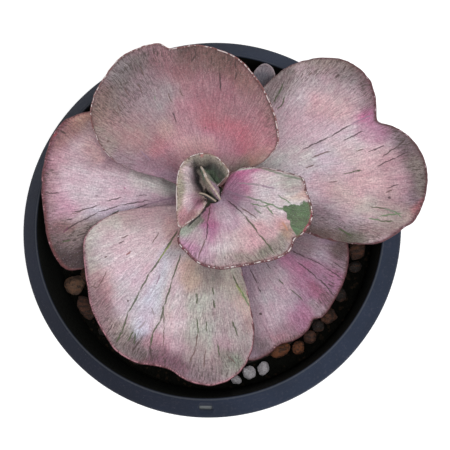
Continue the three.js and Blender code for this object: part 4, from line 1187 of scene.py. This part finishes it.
def make_pot():
    rim_edge = POT_HEIGHT - RIM_DROP
    skirt_foot = rim_edge - SKIRT_DEPTH
    under_flange = POT_HEIGHT - WALL * 1.6
    corners = np.array([
        (0, 0), (BASE_RADIUS - 1.5, 0), (BASE_RADIUS, 1.5),
        (inner_radius(under_flange) + WALL, under_flange), (RIM_RADIUS - WALL, rim_edge - 1),
        (RIM_RADIUS - WALL, skirt_foot), (RIM_RADIUS, skirt_foot), (RIM_RADIUS, rim_edge - 0.6),
        (RIM_RADIUS - 0.6, rim_edge + 0.3), (MOUTH_RADIUS + FLANGE_START, POT_HEIGHT - FLANGE_DROP),
        (MOUTH_RADIUS + 0.3, POT_HEIGHT), (MOUTH_RADIUS - 0.2, POT_HEIGHT - 0.5),
        (inner_radius(BASE_THICK + 3), BASE_THICK + 3), (inner_radius(BASE_THICK) - 3, BASE_THICK),
        (0, BASE_THICK)])
    radii = [0.8, 0.8, 0.8, 0.8, 0.4, 0.4, 0.5, 0.5, 0.5, 0.3, 0.3, 1.5, 1.5]
    profile = densely(rounded(corners, radii), 6)
    rings = turned(profile[1:-1], POT_SIDES)
    points = np.concatenate([rings.reshape(-1, 3), [[0, 0, 0], [0, 0, BASE_THICK]]])
    faces = closed_faces(len(rings), POT_SIDES)
    pot = add_piece("pot_shell", points, faces, pot_material(), "pot")
    cut_holes(pot)
    mesh = pot.data
    place = np.zeros(len(mesh.vertices) * 3, np.float32)
    mesh.vertices.foreach_get("co", place)
    x, y, z = place.reshape(-1, 3).T / MM
    reach = np.hypot(x, y)
    within = (reach < inner_radius(z) + 0.35) & (z > BASE_THICK - 0.2) & (z < POT_HEIGHT - 0.45)
    point_attribute(pot, "inside", within)
    depth = (flange_top(reach) - z) * math.cos(FLANGE_LEAN)
    floor = (depth > 0.7) & (depth < 1.1) & (abs(reach - HANGER_SLOT["reach"]) < 1.4) & (z > 110.5)
    point_attribute(pot, "sunk", floor)


def drain_cutters():
    """Plugs on the ring of drain holes: points and faces."""
    faces = ring_faces(2, 32) + [tuple(range(31, -1, -1)), tuple(range(32, 64))]
    plug = turned(np.array([[DRAIN["radius"], -3.0], [DRAIN["radius"], 3.0]]), 32).reshape(-1, 3)
    for i in range(DRAIN["count"]):
        turn = math.radians((i + 0.5) * 360 / DRAIN["count"])
        middle = (DRAIN["reach"] * math.cos(turn), DRAIN["reach"] * math.sin(turn), BASE_THICK / 2)
        yield plug + middle, faces


def slot_cutters():
    """Boxes that lie in the slope of the flange, one at each azimuth: points and faces."""
    x, y, z = np.meshgrid([-1, 1], [-1, 1], [-1, 1], indexing="ij")
    box = np.stack([x, y, z], axis=-1).reshape(-1, 3)
    box = box * (HANGER_SLOT["long"] / 2, HANGER_SLOT["wide"] / 2, HANGER_SLOT["deep"])
    cos, sin = math.cos(FLANGE_LEAN), math.sin(FLANGE_LEAN)
    box = box @ np.array([[cos, 0, -sin], [0, 1, 0], [sin, 0, cos]])
    box = box + (HANGER_SLOT["reach"], 0, flange_top(HANGER_SLOT["reach"]))
    faces = [(0, 1, 3, 2), (4, 6, 7, 5), (0, 4, 5, 1), (2, 3, 7, 6), (0, 2, 6, 4), (1, 5, 7, 3)]
    for azimuth in HANGER_SLOT["azimuths"]:
        yield spun(box, azimuth), faces


def spun(points, azimuth):
    """Points turned about the vertical by an angle in degrees."""
    cos, sin = math.cos(math.radians(azimuth)), math.sin(math.radians(azimuth))
    return points @ np.array([[cos, sin, 0], [-sin, cos, 0], [0, 0, 1]])


def cut_holes(pot):
    """Cuts the drain holes and the hanger slots, with cutters that are removed again."""
    for points, faces in (*drain_cutters(), *slot_cutters()):
        mesh = bpy.data.meshes.new("cutter")
        mesh.from_pydata((points * MM).tolist(), [], faces)
        cutter = bpy.data.objects.new("cutter", mesh)
        bpy.context.scene.collection.objects.link(cutter)
        cut = pot.modifiers.new("hole", "BOOLEAN")
        cut.operation = "DIFFERENCE"
        cut.solver = "EXACT"
        cut.object = cutter
        with bpy.context.temp_override(object=pot, active_object=pot):
            bpy.ops.object.modifier_apply(modifier=cut.name)
        bpy.data.objects.remove(cutter)
        bpy.data.meshes.remove(mesh)


# Soil, stem and stones


def draws(seed):
    """Numbers between 0 and 1 that come in the same order every time, as in the solids."""
    state = seed
    while True:
        state = (state * 16807) % 2147483647
        yield state / 2147483647


def pass_over(draw, count):
    for _ in range(count):
        next(draw)


def soil_material():
    """Dark crumbs, a few of them paler. The soil's tone is darkened almost to black as painted shade."""
    paint = Paint("potting mix")
    place = paint.place()
    crumb = paint.node("TexVoronoi", {"feature": "F1"}, {"Vector": place, "Scale": 0.8}, "Distance")
    chance = paint.node("TexVoronoi", {"feature": "F1"}, {"Vector": place, "Scale": 0.8}, "Color")
    fine = paint.noise(place, 3.0, 3.0)
    colour = paint.mix(paint.rise(fine, 0.5, 0.8, 0.6), linear("soil"), linear("dark stone"))
    fleck = paint.node("SeparateColor", {}, {0: chance}, "Red")
    colour = paint.mix(paint.rise(fleck, 0.86, 0.95, 0.12), colour, linear("tan stone"))
    return paint.finish(colour, 0.95, [(1 - crumb, 0.5), (fine, 0.5 / 3)], **{"Specular IOR Level": 0.1})


def stem_middle(points):
    """Points about the origin moved to stand about the stem's middle."""
    return points + (STEM_X, STEM_Y, 0)


def make_soil():
    """Crumbly potting mix: a turned body whose top is broken up by noise, more so past the stones."""
    floor = BASE_THICK + CLEAR
    wall = np.array([
        (inner_radius(floor) - 3.6, floor), (inner_radius(floor + 3) - CLEAR, floor + 3),
        (inner_radius(SOIL_HEIGHT) - CLEAR - 0.5, SOIL_HEIGHT - 0.6)])
    rows = 60
    wall = turned(densely(wall, 8), POT_SIDES)
    top = np.stack([np.linspace(66.4, 9.5, rows), np.full(rows, float(SOIL_HEIGHT))], axis=-1)
    top = turned(top, POT_SIDES)
    top[..., :2] += np.linspace(0, 1, rows)[:, None, None] ** 2 * np.array([STEM_X, STEM_Y])
    rough = rough_noise(top / 3.0, 5, 4)
    bare = eased(np.hypot(top[..., 0], top[..., 1]), BED["reach"], BED["reach"] + 2.5)
    top[..., 2] += rough * 3.0 * bare - 0.15 * np.abs(rough) * (1 - bare)
    hole_floor = SOIL_HEIGHT - 20.0
    foot_ring = stem_middle(turned(np.array([[9.3, hole_floor]]), POT_SIDES))
    rings = np.concatenate([wall, top, foot_ring])
    points = np.concatenate([rings.reshape(-1, 3), [[0, 0, floor], [STEM_X, STEM_Y, hole_floor]]])
    faces = closed_faces(len(rings), POT_SIDES)
    add_piece("soil_bed", points, faces, soil_material(), "soil")


def make_stem():
    """A short stem with the scars of shed leaves: rings that bulge and crack."""
    profile = densely(STEM_PROFILE[:-1], 0.8)
    profile[:, 0] = np.maximum(profile[:, 0], 1e-3)
    sides = 96
    rings = turned(profile, sides)
    turn = np.arctan2(rings[..., 1], rings[..., 0])
    reach = np.hypot(rings[..., 0], rings[..., 1])
    scar = np.sin(rings[..., 2] * 2.1 + np.sin(turn * 3) * 1.4) * 0.16
    scar += rough_noise(rings / 2.0, 9, 3) * 0.35
    shrink = 1 - (0.28 - np.clip(scar, -0.28, 0.24)) / np.maximum(reach, 1)
    rings[..., :2] *= shrink[..., None]
    points = np.concatenate([rings.reshape(-1, 3), [[0, 0, STEM_FOOT], [0, 0, STEM_TIP]]])
    faces = closed_faces(len(rings), sides)
    add_piece("stem_bark", stem_middle(points), faces, stem_material(), "stem")


def stem_material():
    """Scarred brown bark that turns to dark green tissue between the leaves, and is painted dark at its
    top as painted shade under the leaves.
    """
    paint = Paint("stem bark")
    place = paint.place()
    bark = paint.noise(paint.stretched(place, (0.5, 0.5, 1.6)), 1.0, 4.0)
    fine = paint.noise(place, 2.5, 3.0)
    colour = paint.mix(paint.rise(bark, 0.38, 0.64), linear("brown"), linear("olive"))
    colour = paint.mix(paint.rise(fine, 0.55, 0.75, 0.5), colour, linear("dark brown"))
    height = paint.along("Z")
    colour = paint.mix(paint.rise(height, 114, 119), colour, linear("green tissue"))
    # Painted shade: the stem's top, deep among the leaves, darkens.
    colour = paint.mix(paint.rise(height, 120, 125, 0.8), colour, linear("shade"))
    return paint.finish(colour, 0.85, [(bark, 0.3), (fine, 0.1)])


def pebble(listed, level, rings, sides, seed, pitted=0.0, flat=0.84):
    """A stone: a ball r(u, v) = 1 with lumps and a few flat faces, drawn out to its three sizes."""
    x, y, length, width, height, turn = listed[:6]
    down = np.linspace(0, np.pi, rings)[:, None]
    round_ = np.linspace(0, 2 * np.pi, sides, endpoint=False)
    ball = np.stack(np.broadcast_arrays(
        np.sin(down) * np.cos(round_), np.sin(down) * np.sin(round_), np.cos(down)), axis=-1)
    swell = 0.97 + 0.26 * rough_noise(ball * 1.6 + seed, seed, 3)
    draw = draws(seed * 97 + 11)
    for _ in range(7):
        facing = np.array([next(draw) - 0.5 for _ in range(3)])
        facing /= np.linalg.norm(facing)
        lean = ball @ facing
        swell = np.minimum(swell, (flat + 0.08 * next(draw)) / np.maximum(lean, 0.05))
    swell -= pitted * np.clip(rough_noise(ball * 6 + seed, seed + 40, 3) - 0.05, 0, 1)
    swell += 0.02 * rough_noise(ball * 9 + seed, seed + 50, 2)
    shape = spun(ball * swell[..., None] * np.array([length, width, height]) / 2, turn) + (x, y, level)
    points = np.concatenate([shape[1:-1].reshape(-1, 3), shape[:1, 0], shape[-1:, 0]])
    return points, [face[::-1] for face in closed_faces(rings - 2, sides)]


def stone_material(name, banded):
    """Rough stone: dark and rusty bands over each stone's own tone, or pale with brown pits."""
    paint = Paint(name)
    place = paint.place()
    band = paint.noise(paint.stretched(paint.warped(place, 0.4, 2.0), (0.25, 0.8, 1.6), 0.7), 1.0, 4.0)
    grain = paint.noise(place, 2.0, 4.0)
    pit = paint.noise(place, 4.5, 2.0)
    if banded:
        tint = paint.attribute("tone", "Color")
        colour = paint.mix(paint.rise(band, 0.42, 0.62, 0.75), tint, linear("dark stone"))
        colour = paint.mix(paint.rise(band, 0.5, 0.36, 0.3), colour, linear("rust stone"))
        colour = paint.mix(paint.rise(grain, 0.58, 0.75, 0.25), colour, linear("grey"))
    else:
        colour = paint.mix(paint.rise(grain, 0.4, 0.66, 0.6), linear("pumice"), linear("grey"))
        colour = paint.mix(paint.rise(pit, 0.58, 0.68, 0.7), colour, linear("brown"))
    return paint.finish(colour, 0.85, [(band, 0.3), (grain, 0.2), (pit, 0.12)])


def bed_fill(low):
    """The rough ground between the stones: a ring whose inner wall stands clear of the stem."""
    sides = 160
    outer, inner, level = BED["reach"], BED["hole"], BED["top"]
    wall = np.array([[outer - 0.4, low], [outer - 0.2, low + 2.0], [outer - 1, level - 0.3]])
    hole = np.array([[inner, level - 0.6], [inner, low]])
    reach = np.linspace(outer - 2, 0.5, 50)
    inward = np.linspace(0, 1, 50)[reach > inner, None, None] ** 2
    reach = reach[reach > inner]
    top = turned(np.stack([reach, np.full(len(reach), level)], axis=-1), sides)
    top[..., :2] += inward * np.array([STEM_X, STEM_Y])
    top[..., 2] += rough_noise(top / 1.8, 21, 3) * 0.8 - 0.3
    rings = np.concatenate([turned(wall, sides), top, stem_middle(turned(hole, sides))])
    final = (len(rings) - 1) * sides
    faces = ring_faces(len(rings), sides)
    faces += [(i, final + i, final + (i + 1) % sides, (i + 1) % sides) for i in range(sides)]
    return rings.reshape(-1, 3), faces


def make_gravel():
    """The brown bed: the stones that show, and a stone wherever a sunflower spiral puts one. The solids
    draw a number for each corner of a stone, and as many are passed over here."""
    draw = draws(STONE_SEED)
    low = SOIL_HEIGHT + CLEAR
    parts = []
    for number, listed in enumerate(EDGE_STONES):
        pass_over(draw, 42)
        level = low + listed[4] * STONE_SEAT
        parts.append((*pebble(listed, level, 34, 56, 3 + number), listed[6]))
    tones = ["brown stone", "dark stone", "rust stone", "dark stone", "tan stone"]
    i = 1
    while BED["spacing"] * math.sqrt(i) < BED["reach"] + 2:
        reach = BED["spacing"] * math.sqrt(i)
        turn = i * math.radians(GOLDEN_ANGLE)
        x = reach * math.cos(turn)
        y = reach * math.sin(turn)
        size = [8.6 + 3 * next(draw), 7.6 + 2.4 * next(draw), 4.2 + 1.1 * next(draw)]
        listed = [x, y, *size, 180 * next(draw)]
        bare = math.hypot(x - STEM_X, y - STEM_Y) < BED["bare_round_stem"]
        near = any(math.hypot(x - s[0], y - s[1]) < 3 + s[2] / 2 for s in EDGE_STONES + WHITE_STONES)
        if not bare and not near:
            pass_over(draw, 12)
            parts.append((*pebble(listed, BED["stone_level"], 14, 22, 40 + i), tones[i % 5]))
        i += 1
    parts.append((*bed_fill(low), "dark stone"))
    points = np.concatenate([part[0] for part in parts])
    starts = np.cumsum([0] + [len(part[0]) for part in parts])
    faces = [tuple(start + corner for corner in face)
             for start, part in zip(starts.tolist(), parts) for face in part[1]]
    tone = np.concatenate([np.tile(linear(part[2]), (len(part[0]), 1)) for part in parts])
    material = stone_material("brown stone", True)
    bed = add_piece("gravel_bed", points, faces, material, "gravel")
    colour_attribute(bed, "tone", tone)
    white = stone_material("pumice", False)
    for number, listed in enumerate(WHITE_STONES):
        level = low + listed[4] * STONE_SEAT
        points, faces = pebble(listed, level, 60, 90, 70 + number, 0.12, 0.77)
        name = f"pumice_{number + 1}"
        add_piece(name + "_stone", points, faces, white, name)


# The setting


def placed(turn, place):
    """The matrix of an object that is turned and then moved."""
    return Matrix([*([*row, at] for row, at in zip(turn.tolist(), place)), [0, 0, 0, 1]])


def make_camera():
    camera = bpy.data.cameras.new("camera")
    camera.lens = LENS["focal"]
    camera.sensor_width = LENS["sensor"]
    camera.clip_start = 0.01
    camera.clip_end = 20
    holder = bpy.data.objects.new("camera", camera)
    holder.matrix_world = placed(np.stack([RIGHT, UP, BACK], axis=1), EYE * MM)
    bpy.context.scene.collection.objects.link(holder)
    bpy.context.scene.camera = holder


def make_floor():
    paint = Paint("floor")
    place = paint.place()
    mottle = paint.noise(place, 0.02, 2.0)
    colour = paint.mix(paint.rise(mottle, 0.3, 0.7, 0.15), (0.93, 0.93, 0.93, 1), (0.9, 0.9, 0.9, 1))
    glow = {"Emission Color": (1.0, 1.0, 1.0, 1.0), "Emission Strength": FLOOR["glow"]}
    material = paint.finish(colour, 0.9, **glow)
    side = FLOOR["half_side"]
    corners = [(-side, -side, 0), (side, -side, 0), (side, side, 0), (-side, side, 0)]
    mesh = bpy.data.meshes.new("floor")
    mesh.from_pydata(corners, [], [(0, 1, 2, 3)])
    mesh.materials.append(material)
    floor = bpy.data.objects.new("floor", mesh)
    bpy.context.scene.collection.objects.link(floor)


def make_light():
    lamp = bpy.data.lights.new("key", "AREA")
    lamp.energy = LAMP["energy"]
    lamp.size = LAMP["size"]
    holder = bpy.data.objects.new("key", lamp)
    back = np.array(LAMP["place"], float) / np.linalg.norm(LAMP["place"])
    side = np.cross((0, 1, 0), back)
    side /= np.linalg.norm(side)
    holder.matrix_world = placed(np.stack([side, np.cross(back, side), back], axis=1), LAMP["place"])
    bpy.context.scene.collection.objects.link(holder)
    world = bpy.data.worlds.new("studio")
    world.use_nodes = True
    sky = world.node_tree.nodes["Background"]
    sky.inputs["Color"].default_value = (1.0, 1.0, 1.0, 1.0)
    sky.inputs["Strength"].default_value = SKY_STRENGTH
    bpy.context.scene.world = world
    bpy.context.scene.view_settings.view_transform = "Standard"


make_camera()
make_floor()
make_light()
make_pot()
make_soil()
make_stem()
make_gravel()
make_leaves()
